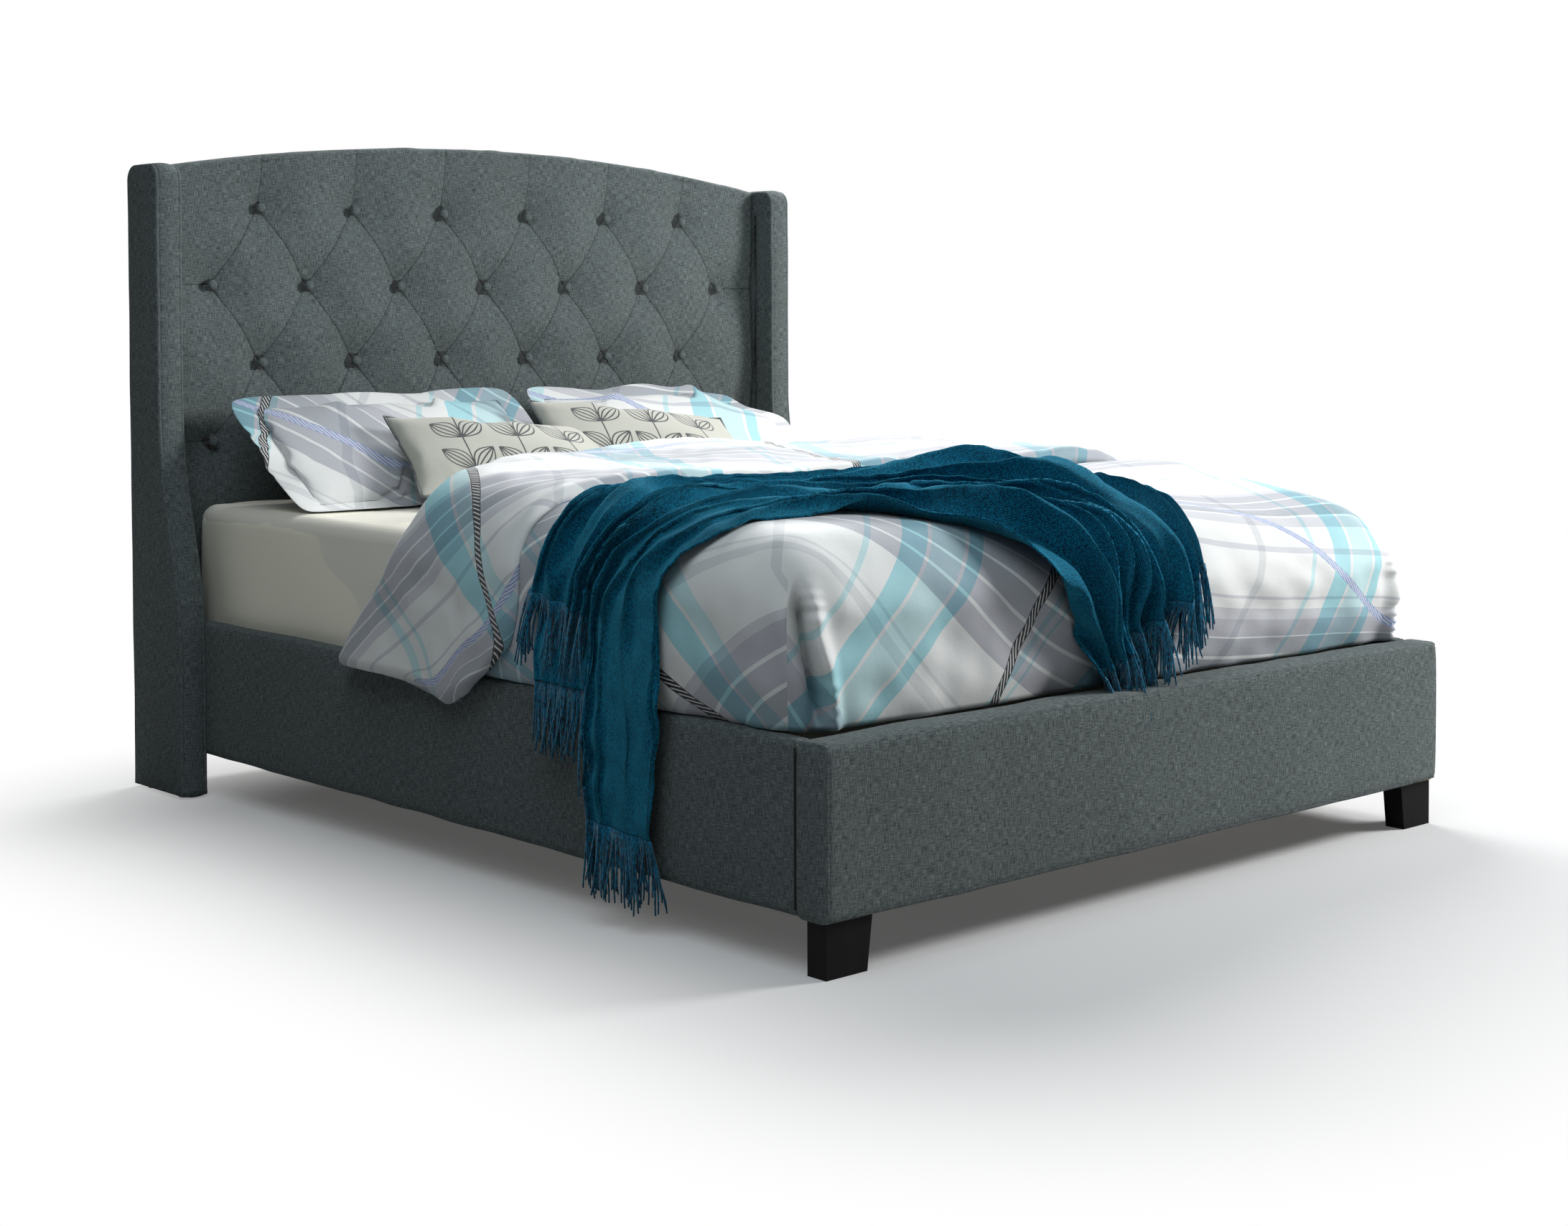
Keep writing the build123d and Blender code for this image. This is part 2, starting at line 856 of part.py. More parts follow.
def duvet_shell(growth, bottom):
    half = duvet_half_width + growth
    foot, head, top = duvet_foot - growth, fold_foot + duvet_fold_overlap, duvet_top + growth
    level_from, lowered = duvet_foot + duvet_sag_length, top - duvet_foot_sag
    sinking = TangentArc((level_from, top), (foot, lowered), tangent=(-1, 0))
    rest = Polyline((foot, lowered), (foot, bottom), (head, bottom), (head, top), (level_from, top))
    body = across_bed([sinking, rest], half)
    radius = duvet_edge_radius + growth
    body = fillet(body.edges().filter_by(Axis.Z).group_by(Axis.Y)[0], radius)
    low_edges = body.edges().group_by(Axis.Z)[0]
    upright_edges = body.edges().filter_by(Axis.Z)
    top_edges = body.edges() - low_edges - upright_edges
    return fillet(top_edges - body.faces().sort_by(Axis.Y)[-1].edges(), radius)


def fold_crown():
    reach = duvet_head - fold_shoulder
    right = [(x * fold_half, fold_shoulder + y * reach) for x, y in fold_head_shares]
    left = [(-x, y) for x, y in reversed(right[:-1])]
    head_edge = Spline(*right, *left)
    rest = Polyline(left[-1], (-fold_half, fold_foot), (fold_half, fold_foot), right[0])
    crown = Pos(0, 0, sheet_top) * extrude(make_face([head_edge, rest]), duvet_loft + duvet_fold_height)
    return fillet(crown.faces().sort_by(Axis.Z)[-1].edges(), duvet_fold_edge_radius)


def fold_flaps():
    shoulder_height = duvet_top - duvet_edge_radius / 2
    points = [
        (fold_foot + y * duvet_fold_length, fold_hem + z * (shoulder_height - fold_hem))
        for y, z in fold_side_shares
    ]
    return across_bed(Polyline(*points, close=True), fold_half)


def duvet_fold():
    top = duvet_top + duvet_fold_height
    cover = block((-fold_half, fold_half), (fold_foot, duvet_head), (fold_hem, top))
    long_edges = cover.edges().filter_by(Axis.Y).group_by(Axis.Z)[-1]
    cover = fillet(long_edges, duvet_edge_radius + duvet_fold_side)
    return cover & (fold_crown() + fold_flaps())


def duvet():
    inner_half = mattress_width / 2 + sheet_thickness + duvet_rail_gap
    rail_half = half_width + duvet_rail_gap
    bed_top = sheet_top + soft_gap
    inner_foot = mattress_foot - sheet_thickness - duvet_rail_gap
    under = frame_top + duvet_footboard_gap
    room_head = duvet_head + cut_overrun
    body = duvet_shell(0, duvet_hem) + duvet_fold()
    body -= block((-inner_half, inner_half), (inner_foot, room_head), (0, bed_top))
    body -= block((-rail_half, rail_half), (duvet_foot - cut_overrun, room_head), (0, duvet_hem))
    body -= block((-rail_half, rail_half), (duvet_foot - cut_overrun, inner_foot + soft_gap), (0, under))
    tuck_half = rail_inner - duvet_tuck_gap
    tuck_y = (footboard_back + duvet_tuck_gap, footboard_back + duvet_tuck_gap + duvet_tuck_thickness)
    tuck = block((-tuck_half, tuck_half), tuck_y, (under - duvet_tuck_depth, under + soft_gap))
    return body + tuck


# Throw

def throw_strip(start, end):
    pairs = [
        [(x * duvet_half_width, foot_face + y * bed_length) for x, y in pair]
        for pair in throw_plan_shares
    ]
    between = [
        [(a + (c - a) * share, b + (d - b) * share) for share in (start, end)]
        for (a, b), (c, d) in pairs
    ]
    points = [first for first, _ in between] + [last for _, last in reversed(between)]
    return extrude(make_face(Polyline(*points, close=True)), duvet_top + bed_length)


def throw_layer(thickness):
    outer = duvet_shell(throw_gap + thickness, throw_long_hem_height)
    return outer - duvet_shell(throw_gap, throw_long_hem_height)


def throw_ridges():
    pitch = 1 / throw_ridge_count
    margin = pitch * (1 - throw_ridge_share) / 2
    return [
        throw_strip(i * pitch + margin, (i + 1) * pitch - margin)
        for i in range(throw_ridge_count)
    ]


def throw():
    cloth = throw_layer(throw_thickness) & throw_strip(0, 1)
    raised = throw_layer(throw_thickness + throw_ridge_height)
    cloth += [raised & ridge for ridge in throw_ridges()]
    far = duvet_half_width + bed_width
    past_head = fold_foot + cut_overrun
    foot_room = (foot_face - cut_overrun, past_head)
    middle_room = (foot_face + throw_plan_start() + throw_middle_step, past_head)
    short_room = (foot_face + throw_plan_start() + throw_short_step, past_head)
    cloth -= block((throw_foot_end, far), foot_room, (0, frame_top + throw_foot_hem_height))
    cloth -= block((-far, throw_foot_end), middle_room, (0, frame_top + throw_middle_hem_height))
    return cloth - block((-far, throw_foot_end), short_room, (0, frame_top + throw_short_hem_height))


def throw_plan_start():
    return throw_plan_shares[0][0][1] * bed_length


# Shams and cushions

def sham(side):
    back = headboard_front - soft_gap
    base = sheet_top + soft_gap
    outline = Polyline(
        (headboard_front - sham_reach, base),
        (headboard_front - sham_top_setback, base + sham_top_height),
        (back - sham_shoulder_setback, base + sham_top_height - sham_heel_height),
        (back, base + sham_back_height),
        (back, base + sham_heel_height),
        (back - sham_heel_setback, base),
        close=True,
    )
    face = make_face(outline)
    face = fillet(face.vertices(), sham_edge_radius)
    solid = extrude(Plane.YZ * face, amount=sham_width)
    return right_or_left(Pos(sham_gap / 2, 0, 0) * solid, side)


def sham_slope():
    return math.degrees(math.atan2(sham_top_height, sham_reach - sham_top_setback))


def cushion(side):
    body = Box(cushion_width, cushion_height, cushion_thickness)
    body = fillet(body.edges(), cushion_edge_radius)
    body = Rot(sham_slope(), 0, 0) * body
    slope = math.radians(sham_slope())
    base = sheet_top + soft_gap
    lift = cushion_thickness / 2 + soft_gap
    middle_y = headboard_front - sham_reach - lift * math.sin(slope)
    middle_z = base + lift * math.cos(slope)
    lowest = body.bounding_box().min.Z
    run = (base - lowest - middle_z) / math.sin(slope)
    along_y = middle_y + run * math.cos(slope)
    along_z = middle_z + run * math.sin(slope)
    middle_x = sided(side, (cushion_width + cushion_gap) / 2)
    return Pos(middle_x, along_y, along_z) * body


# All nodes, each written to its own file

def all_nodes():
    nodes = {
        "headboard_panel": headboard_panel(),
        "headboard_stud_frame": headboard_stud_frame(),
        "headboard_cross_rail": headboard_cross_rail(),
        "headboard_foam": headboard_foam(),
        "headboard_cover": headboard_cover(),
        "headboard_back_cover": headboard_back_cover(),
        "headboard_buttons": headboard_buttons(),
        "button_ties": button_ties(),
        "wing_glides": wing_glides(),
        "footboard_cover": footboard_cover(),
        "footboard_front_board": footboard_front_board(),
        "footboard_back_board": footboard_back_board(),
        "footboard_battens": footboard_battens(),
        "leg_bolts": leg_bolts(),
        "rail_brackets": rail_brackets(),
        "slat_straps": slat_straps(),
        "centre_beam": centre_beam(),
        "beam_hangers": beam_hangers(),
        "leg_inserts": leg_inserts(),
        "mattress": mattress(),
        "fitted_sheet": fitted_sheet(),
        "duvet": duvet(),
        "throw": throw(),
    }
    for side in sides:
        nodes["wing_core_" + side] = wing_core(side)
        nodes["wing_cover_" + side] = wing_cover(side)
        nodes["side_rail_core_" + side] = side_rail_core(side)
        nodes["side_rail_cover_" + side] = side_rail_cover(side)
        nodes["ledger_" + side] = ledger(side)
        nodes["front_leg_" + side] = front_leg(side)
        nodes["sham_" + side] = sham(side)
        nodes["cushion_" + side] = cushion(side)
    for i, y in enumerate(slat_places(), 1):
        nodes["slat_" + str(i)] = slat(y)
    for i, y in enumerate(centre_leg_places(), 1):
        nodes["centre_leg_" + str(i)] = centre_leg(y)
        nodes["levelling_stud_" + str(i)] = levelling_stud(y)
        nodes["foot_pad_" + str(i)] = foot_pad(y)
    bolt_places = bracket_bolt_places("foot") + bracket_bolt_places("head")
    nodes["bracket_bolts"] = group(fasteners(bolt_places, frame_bolt))
    nodes["wing_bolts"] = group(fasteners(wing_bolt_places(), wing_bolt))
    screw_places = bracket_screw_places() + ledger_screw_places() + slat_screw_places()
    screw_places += hanger_screw_places("foot") + hanger_screw_places("head")
    nodes["wood_screws"] = group(fasteners(screw_places, wood_screw))
    return nodes


os.makedirs("parts", exist_ok=True)
for node, shape in all_nodes().items():
    export_step(shape, "parts/" + node + ".step")
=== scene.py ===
import bpy
import numpy as np
from math import pi, radians
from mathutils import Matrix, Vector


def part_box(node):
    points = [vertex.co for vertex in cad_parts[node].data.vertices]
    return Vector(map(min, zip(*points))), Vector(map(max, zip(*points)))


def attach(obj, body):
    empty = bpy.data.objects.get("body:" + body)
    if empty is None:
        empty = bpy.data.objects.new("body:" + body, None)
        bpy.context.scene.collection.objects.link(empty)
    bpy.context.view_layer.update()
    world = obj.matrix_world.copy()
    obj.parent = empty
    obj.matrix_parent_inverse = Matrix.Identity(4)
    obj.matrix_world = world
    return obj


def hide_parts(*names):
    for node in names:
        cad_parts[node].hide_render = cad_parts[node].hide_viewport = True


# Upholstered wing bed with its bedding, in metres. X runs across the bed, Y from foot to head, Z up.
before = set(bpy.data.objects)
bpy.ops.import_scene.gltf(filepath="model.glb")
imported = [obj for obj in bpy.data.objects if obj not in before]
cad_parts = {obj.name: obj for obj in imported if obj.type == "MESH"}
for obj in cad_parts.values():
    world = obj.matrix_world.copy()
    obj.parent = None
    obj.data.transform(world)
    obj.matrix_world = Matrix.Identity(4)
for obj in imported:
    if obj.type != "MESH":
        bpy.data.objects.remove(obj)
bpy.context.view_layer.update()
print("stage: frame loaded")

shade = {
    "slateLight": (0.190, 0.218, 0.216, 1),
    "slateMid": (0.102, 0.118, 0.118, 1),
    "slateDark": (0.038, 0.045, 0.046, 1),
    "cottonWhite": (0.630, 0.640, 0.630, 1),
    "white": (0.93, 0.94, 0.95, 1),
    "clear": (1.0, 1.0, 1.0, 1),
    "lilacTint": (0.58, 0.58, 0.64, 1),
    "softLilacTint": (0.74, 0.74, 0.79, 1),
    "greyTint": (0.50, 0.52, 0.57, 1),
    "paleGreyTint": (0.82, 0.83, 0.85, 1),
    "aquaTint": (0.46, 0.82, 0.90, 1),
    "softAquaTint": (0.66, 0.90, 0.94, 1),
    "ropeBlue": (0.240, 0.300, 0.480, 1),
    "ropeBlack": (0.020, 0.020, 0.024, 1),
    "cream": (0.800, 0.770, 0.640, 1),
    "linen": (0.435, 0.435, 0.385, 1),
    "lineDark": (0.050, 0.055, 0.055, 1),
    "piping": (0.10, 0.11, 0.11, 1),
    # near-black painted shade for the cord along each footboard seam
    "seam": (0.010, 0.012, 0.012, 1),
    "tealLight": (0.003, 0.168, 0.292, 1),
    "tealDark": (0.001, 0.017, 0.038, 1),
}
sideWords = {-1: "left", 1: "right"}


# Arrays and meshes

def unit(vectors):
    return vectors / np.maximum(np.linalg.norm(vectors, axis=-1, keepdims=True), 1e-12)


# 0 below low, 1 above high and an even S-curve between
def ease(low, high, value):
    t = np.clip((value - low) / (high - low), 0, 1)
    return t * t * (3 - 2 * t)


# a smooth curve through (place, value) pairs: cubic pieces whose slope at a pair is that of its neighbours
def curveThrough(places, values, wanted):
    places, values = np.asarray(places, float), np.asarray(values, float)
    slopes = np.gradient(values, places)
    k = np.clip(np.searchsorted(places, wanted) - 1, 0, len(places) - 2)
    span = places[k + 1] - places[k]
    t = np.clip((wanted - places[k]) / span, 0, 1)
    start = (1 + 2 * t) * (1 - t) ** 2 * values[k] + t * (1 - t) ** 2 * span * slopes[k]
    end = t * t * (3 - 2 * t) * values[k + 1] + t * t * (t - 1) * span * slopes[k + 1]
    return start + end


# a sum of plane sine waves of random direction and length between two limits, about -1 to 1
def ripples(points, shortest, longest, seed, count=16, stretch=(1, 1, 1)):
    random = np.random.default_rng(seed)
    ways = unit(random.normal(size=(count, 3))) * np.array(stretch)
    lengths = shortest * (longest / shortest) ** random.random(count)
    phases = random.random(count) * 2 * pi
    weights = lengths / lengths.max()
    total = 0
    for way, length, phase, weight in zip(ways, lengths, phases, weights):
        total = total + weight * np.sin(points @ (way * 2 * pi / length) + phase)
    return total / np.sqrt((weights ** 2).sum())


# quads of a grid of points numbered row by row
def gridFaces(rows, cols, closeRows=False, closeCols=False, flip=False, first=0):
    i = np.arange(rows if closeRows else rows - 1)[:, None]
    j = np.arange(cols if closeCols else cols - 1)[None, :]
    nextI, nextJ = (i + 1) % rows, (j + 1) % cols
    corners = [i * cols + j, i * cols + nextJ, nextI * cols + nextJ, nextI * cols + j]
    quads = np.stack(np.broadcast_arrays(*corners), -1).reshape(-1, 4)
    return (quads[:, ::-1] if flip else quads) + first


# a mesh object from points, quads, flat-cloth coordinates per point or per corner, and many-sided end caps
def addMesh(name, points, faces, cloth=None, caps=()):
    mesh = bpy.data.meshes.new(name)
    points = np.asarray(points, np.float32).reshape(-1, 3)
    corners = np.concatenate([faces.ravel()] + [np.asarray(cap) for cap in caps]).astype(np.int32)
    counts = np.array([faces.shape[1]] * len(faces) + [len(cap) for cap in caps])
    starts = (np.cumsum(counts) - counts).astype(np.int32)
    mesh.vertices.add(len(points))
    mesh.vertices.foreach_set("co", points.ravel())
    mesh.loops.add(len(corners))
    mesh.loops.foreach_set("vertex_index", corners)
    mesh.polygons.add(len(counts))
    mesh.polygons.foreach_set("loop_start", starts)
    mesh.update(calc_edges=True)
    mesh.polygons.foreach_set("use_smooth", np.ones(len(counts), bool))
    if cloth is not None:
        cloth = np.asarray(cloth, np.float32).reshape(-1, 2)
        perCorner = cloth if len(cloth) == len(corners) else cloth[corners]
        mesh.uv_layers.new(name="cloth").data.foreach_set("uv", perCorner.ravel())
    mesh.validate()
    piece = bpy.data.objects.new(name, mesh)
    bpy.context.scene.collection.objects.link(piece)
    return piece


def dress(piece, finish, body, slotName, *replaced):
    piece.data.materials.append(finish)
    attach(piece, body)
    if replaced:
        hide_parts(*replaced)


def refine(piece):
    subdivision = piece.modifiers.new("finer", "SUBSURF")
    subdivision.levels = subdivision.render_levels = 1


def addWall(piece, thickness, offset):
    wall = piece.modifiers.new("wall", "SOLIDIFY")
    wall.thickness, wall.offset = thickness, offset


# places along one side of a rounded box: even steps between the rounded bands, equal turns within them
def sidePlaces(flatLow, flatHigh, radii, step, turns):
    flat = np.linspace(flatLow, flatHigh, max(2, round((flatHigh - flatLow) / step) + 1))
    band = np.tan(np.linspace(0, pi / 4, turns + 1))[1:]
    before = (flat[0] - band * radii[0])[::-1] if radii[0] else flat[:0]
    after = flat[-1] + band * radii[1] if radii[1] else flat[:0]
    return np.concatenate([before, flat, after])


# a box with rounded edges: each point is the nearest point of the inner box, plus the radius on the way to
# the plain box; faces named in missing, as (axis, side), stay open and their edges aren't rounded; the flat
# cloth runs along arcs instead of round corners
def roundedBox(low, high, radius, step, turns=6, missing=()):
    low, high = np.array(low, float), np.array(high, float)
    radii = np.array([[0.0 if (k, side) in missing else radius for side in (-1, 1)] for k in range(3)])
    flatLow, flatHigh = low + radii[:, 0], high - radii[:, 1]
    places = [sidePlaces(flatLow[k], flatHigh[k], radii[k], step, turns) for k in range(3)]
    middle, half = (flatLow + flatHigh) / 2, (flatHigh - flatLow) / 2
    plain, quads, cloth, first = [], [], [], 0
    for axis in range(3):
        a, b = [k for k in range(3) if k != axis]
        for side in (-1, 1):
            if (axis, side) in missing:
                continue
            rows, cols = np.meshgrid(places[a], places[b], indexing="ij")
            points = np.empty(rows.shape + (3,))
            points[..., a], points[..., b] = rows, cols
            points[..., axis] = high[axis] if side > 0 else low[axis]
            flip = (side > 0) == (axis == 1)
            quads.append(gridFaces(*rows.shape, flip=not flip, first=first))
            flatPart = np.clip(points, flatLow, flatHigh)
            turned = flatPart + radius * np.arctan((points - flatPart) / radius)
            runs = [turned[..., k] for k in range(3)]
            drop = flatHigh[2] + radius * pi / 2 - runs[2]
            edge = [side * (half[k] + drop) + middle[k] for k in range(3)]
            flat = {0: (edge[0], runs[1]), 1: (runs[0], edge[1]), 2: (runs[0], runs[1])}[axis]
            cloth.append(np.stack(flat, -1).reshape(-1, 2))
            plain.append(points.reshape(-1, 3))
            first += rows.size
    quads = np.concatenate(quads)
    merged, index = np.unique(np.round(np.concatenate(plain), 7), axis=0, return_inverse=True)
    inner = np.clip(merged, flatLow, flatHigh)
    normals = unit(merged - inner)
    corners = np.concatenate(cloth)[quads.ravel()]
    return inner + radius * normals, normals, index.ravel()[quads], corners


# tubes of the same few-sided section along many paths at once; paths is (tubes, points, 3)
def tubes(paths, radius, sides=5, taper=0.6):
    count, length = paths.shape[:2]
    ahead = unit(np.gradient(paths, axis=1))
    helper = np.where(np.abs(ahead[..., 2:3]) > 0.9, [1.0, 0, 0], [0, 0, 1.0])
    across = unit(np.cross(ahead, helper))
    up = np.cross(ahead, across)
    angles = np.arange(sides) * 2 * pi / sides
    size = radius * np.linspace(1, taper, length)[None, :, None, None]
    ring = across[:, :, None] * np.cos(angles)[:, None] + up[:, :, None] * np.sin(angles)[:, None]
    points = (paths[:, :, None] + size * ring).reshape(-1, 3)
    one = gridFaces(length, sides, closeCols=True)
    faces = (one[None] + (np.arange(count) * length * sides)[:, None, None]).reshape(-1, 4)
    starts = (np.arange(count) * length * sides)[:, None]
    caps = [*(starts + np.arange(sides)[::-1]), *(starts + (length - 1) * sides + np.arange(sides))]
    return points, faces, caps


# Finishes

# a node's output: a sum, product or comparison of it is a Math node
class Value:
    def __init__(self, finish, socket):
        self.finish, self.socket = finish, socket

    def maths(self, operation, *others):
        return self.finish.value("Math", dict(enumerate((self, *others))), operation=operation)

    def __add__(self, other):
        return self.maths("ADD", other)

    def __sub__(self, other):
        return self.maths("SUBTRACT", other)

    def __mul__(self, other):
        return self.maths("MULTIPLY", other)

    def __truediv__(self, other):
        return self.maths("DIVIDE", other)

    def __gt__(self, other):
        return self.maths("GREATER_THAN", other)

    def __lt__(self, other):
        return self.maths("LESS_THAN", other)

    def __abs__(self):
        return self.maths("ABSOLUTE")

    def least(self, other):
        return self.maths("MINIMUM", other)

    def most(self, other):
        return self.maths("MAXIMUM", other)

    def fract(self):
        return self.maths("FRACT")

    def sine(self):
        return self.maths("SINE")


def grey(level):
    return (level, level, level, 1)


def toned(colour, share):
    return tuple(min(1.0, part * share) for part in colour[:3]) + (1,)


class Finish:
    def __init__(self, name, **sockets):
        self.material = bpy.data.materials.new(name)
        self.material.use_nodes = True
        self.nodes = self.material.node_tree.nodes
        self.links = self.material.node_tree.links
        self.shader = self.nodes["Principled BSDF"]
        for socket, value in sockets.items():
            self.shader.inputs[socket.replace("_", " ")].default_value = value

    def add(self, kind, inputs=(), **settings):
        node = self.nodes.new("ShaderNode" + kind)
        for setting, value in settings.items():
            setattr(node, setting, value)
        for socket, value in dict(inputs).items():
            if isinstance(value, Value):
                self.links.new(value.socket, node.inputs[socket])
            else:
                node.inputs[socket].default_value = value
        return node

    def value(self, kind, inputs=(), output=0, **settings):
        return Value(self, self.add(kind, inputs, **settings).outputs[output])

    def feed(self, name, value):
        self.links.new(value.socket, self.shader.inputs[name])

    def blend(self, share, first, second, how="MIX"):
        return self.value("Mix", {0: share, 6: first, 7: second}, 2, data_type="RGBA", blend_type=how)

    def ramp(self, share, stops, steps=False):
        node = self.add("ValToRGB", {0: share})
        node.color_ramp.interpolation = "CONSTANT" if steps else "LINEAR"
        elements = node.color_ramp.elements
        while len(elements) < len(stops):
            elements.new(0.5)
        for element, (place, colour) in zip(elements, stops):
            element.position = place
            element.color = colour
        return Value(self, node.outputs[0])

    def noise(self, vector, scale, detail=2.0):
        return self.value("TexNoise", {"Vector": vector, "Scale": scale, "Detail": detail})

    # noise whose scale is built into its coordinates
    def threads(self, coordinates, detail=1.0):
        return self.noise(self.join(*coordinates), 1.0, detail)

    def split(self, vector):
        return [Value(self, socket) for socket in self.add("SeparateXYZ", {0: vector}).outputs]

    def join(self, x, y, z=0.0):
        return self.value("CombineXYZ", {0: x, 1: y, 2: z})

    def place(self, kind="Object"):
        return self.value("TexCoord", output=kind)

    def cloth(self):
        return self.value("UVMap", uv_map="cloth")

    # two coordinates in the plane that the surface faces, so that threads never smear
    def facing(self):
        x, y, z = self.split(self.place())
        nx, ny, nz = [abs(part) for part in self.split(self.place("Normal"))]
        level = self.value("Mix", {0: nx > ny.most(nz), 2: x, 3: y})
        rise = self.value("Mix", {0: nz > nx.most(ny), 2: z, 3: y})
        return level, rise

    def bump(self, height, distance, strength=0.5):
        inputs = {"Height": height, "Distance": distance, "Strength": strength}
        self.feed("Normal", self.value("Bump", inputs))


weave = {"slubLength": 60.0, "slubWidth": 820.0, "upwardSeed": 7.0, "cloudScale": 2.2,
         "threadHeight": 0.0009, "creaseShadeWidth": 0.0012, "creaseDepth": 0.004}


# the distance in the headboard's plane to its nearest crease: diagonals between the buttons of rows one
# gap apart, verticals above the top row and below the last, and levels from the outer buttons to the edges;
# a full metre is added where a family of creases doesn't run
def creaseDistance(finish, columnGap, lineGap, topLine):
    x, _, z = finish.split(finish.place())
    across, down = x / columnGap, (z - topLine) / lineGap
    half = down * 0.5
    lastLine, halfColumns = rowCount - 1.0, topRowButtons / 2.0

    def offLine(value, size):
        return abs(value.fract() - 0.5) * size

    slant = columnGap * lineGap / np.hypot(columnGap / 2, lineGap)
    beside, above, below = abs(across) > halfColumns, down > 0.0, down < -lastLine
    outside = beside.most(above.most(below))
    diagonal = offLine(across + half, slant).least(offLine(across - half, slant)) + outside
    upper = offLine(across, columnGap) + 1.0 - above + beside
    lower = offLine(across + 0.5, columnGap) + 1.0 - below + beside
    level = abs(down + 1.0).least(abs(down + lastLine)) * lineGap + 1.0 - beside
    return diagonal.least(level).least(upper.least(lower))


# slate linen: uneven threads both ways, each a noise stretched along its thread, in three greys; on the
# tufted front each crease gets a thin dark line of painted shade in its colour, beside a bump groove
def slateLinen(name, creases=None):
    finish = Finish(name, Roughness=0.92, Sheen_Weight=0.08, Sheen_Roughness=0.4, Specular_IOR_Level=0.0)
    level, rise = finish.facing()
    longWay, crossWay = weave["slubLength"], weave["slubWidth"]
    across = finish.threads((level * longWay, rise * crossWay), 2.0)
    upward = finish.threads((level * crossWay, rise * longWay, weave["upwardSeed"]), 2.0)
    threads = (across + upward) * 0.5
    stops = [(0.36, shade["slateDark"]), (0.50, shade["slateMid"]), (0.64, shade["slateLight"])]
    cloud = finish.noise(finish.place(), weave["cloudScale"], 3.0)
    stain = finish.ramp(cloud, [(0.3, grey(0.92)), (0.7, grey(1.05))])
    colour = finish.blend(1.0, finish.ramp(threads, stops), stain, "MULTIPLY")
    height = threads * weave["threadHeight"]
    if creases:
        away = creaseDistance(finish, *creases)
        # painted shade: the colour darkens to 0.42 in a thin line along each crease
        dark = finish.ramp(away / weave["creaseShadeWidth"], [(0.25, grey(0.42)), (1.0, grey(1.0))])
        colour = finish.blend(1.0, colour, dark, "MULTIPLY")
        reach = {"Value": away, "From Max": weave["creaseDepth"], "To Max": weave["threadHeight"]}
        height = height + finish.value("MapRange", reach, interpolation_type="SMOOTHERSTEP")
    finish.feed("Base Color", colour)
    finish.bump(height, 1.0, 0.8)
    return finish.material


plaid = {
    "turn": 0.55, "threadsAcross": 900.0, "threadsAlong": 260.0,
    "aqua": {"period": 0.98, "wave": 0.090, "waveLength": 2.3},
    "lilac": {"period": 1.06, "wave": 0.200, "waveLength": 2.4},
    "rope": {"period": 0.86, "wave": 0.075, "waveLength": 1.5},
    "ropeHalf": 0.0098, "ropeTwist": 60.0, "ropeSlant": 2.2, "ropeOutline": 0.8, "ropeApart": 0.2,
}
# where each colour of a family of bands begins, as shares of its period
aquaStops = [
    (0.0, "aquaTint"), (0.045, "white"), (0.054, "softAquaTint"), (0.115, "white"), (0.124, "aquaTint"),
    (0.150, "clear"), (0.33, "softAquaTint"), (0.345, "clear"), (0.36, "softAquaTint"), (0.37, "clear"),
    (0.50, "aquaTint"), (0.555, "white"), (0.564, "softAquaTint"), (0.60, "clear"), (0.78, "paleGreyTint"),
    (0.80, "clear"), (0.93, "softAquaTint"), (0.943, "clear"),
]
lilacStops = [
    (0.0, "lilacTint"), (0.040, "white"), (0.047, "lilacTint"), (0.090, "white"), (0.099, "greyTint"),
    (0.150, "white"), (0.157, "greyTint"), (0.200, "white"), (0.206, "lilacTint"), (0.250, "softLilacTint"),
    (0.275, "clear"), (0.30, "softLilacTint"), (0.308, "clear"), (0.42, "softLilacTint"), (0.435, "clear"),
    (0.50, "softLilacTint"), (0.535, "white"), (0.542, "greyTint"), (0.585, "white"), (0.593, "lilacTint"),
    (0.640, "white"), (0.647, "lilacTint"), (0.690, "softLilacTint"), (0.71, "clear"),
    (0.85, "paleGreyTint"), (0.875, "clear"), (0.89, "paleGreyTint"), (0.897, "clear"),
]


# one family of bands: the share of its period across them, where they are bent by a long sine wave
def bandPlace(across, along, form, phase):
    bend = (along * (2 * pi / form["waveLength"]) + phase).sine() * form["wave"]
    return ((across + bend) / form["period"]).fract()


# a twill rope: a narrow band with slanting stripes and a dark outline; returns its colour and its mask
def rope(finish, across, along, phase, dark, light):
    offset = bandPlace(across, along, plaid["rope"], phase) - 0.5
    distance = offset * plaid["rope"]["period"]
    away = abs(distance)
    twist = ((along + distance * plaid["ropeSlant"]) * plaid["ropeTwist"]).fract()
    colour = finish.ramp(twist, [(0.0, dark), (0.70, light)], steps=True)
    outline = away > plaid["ropeHalf"] * plaid["ropeOutline"]
    return finish.blend(outline, colour, dark), away < plaid["ropeHalf"]


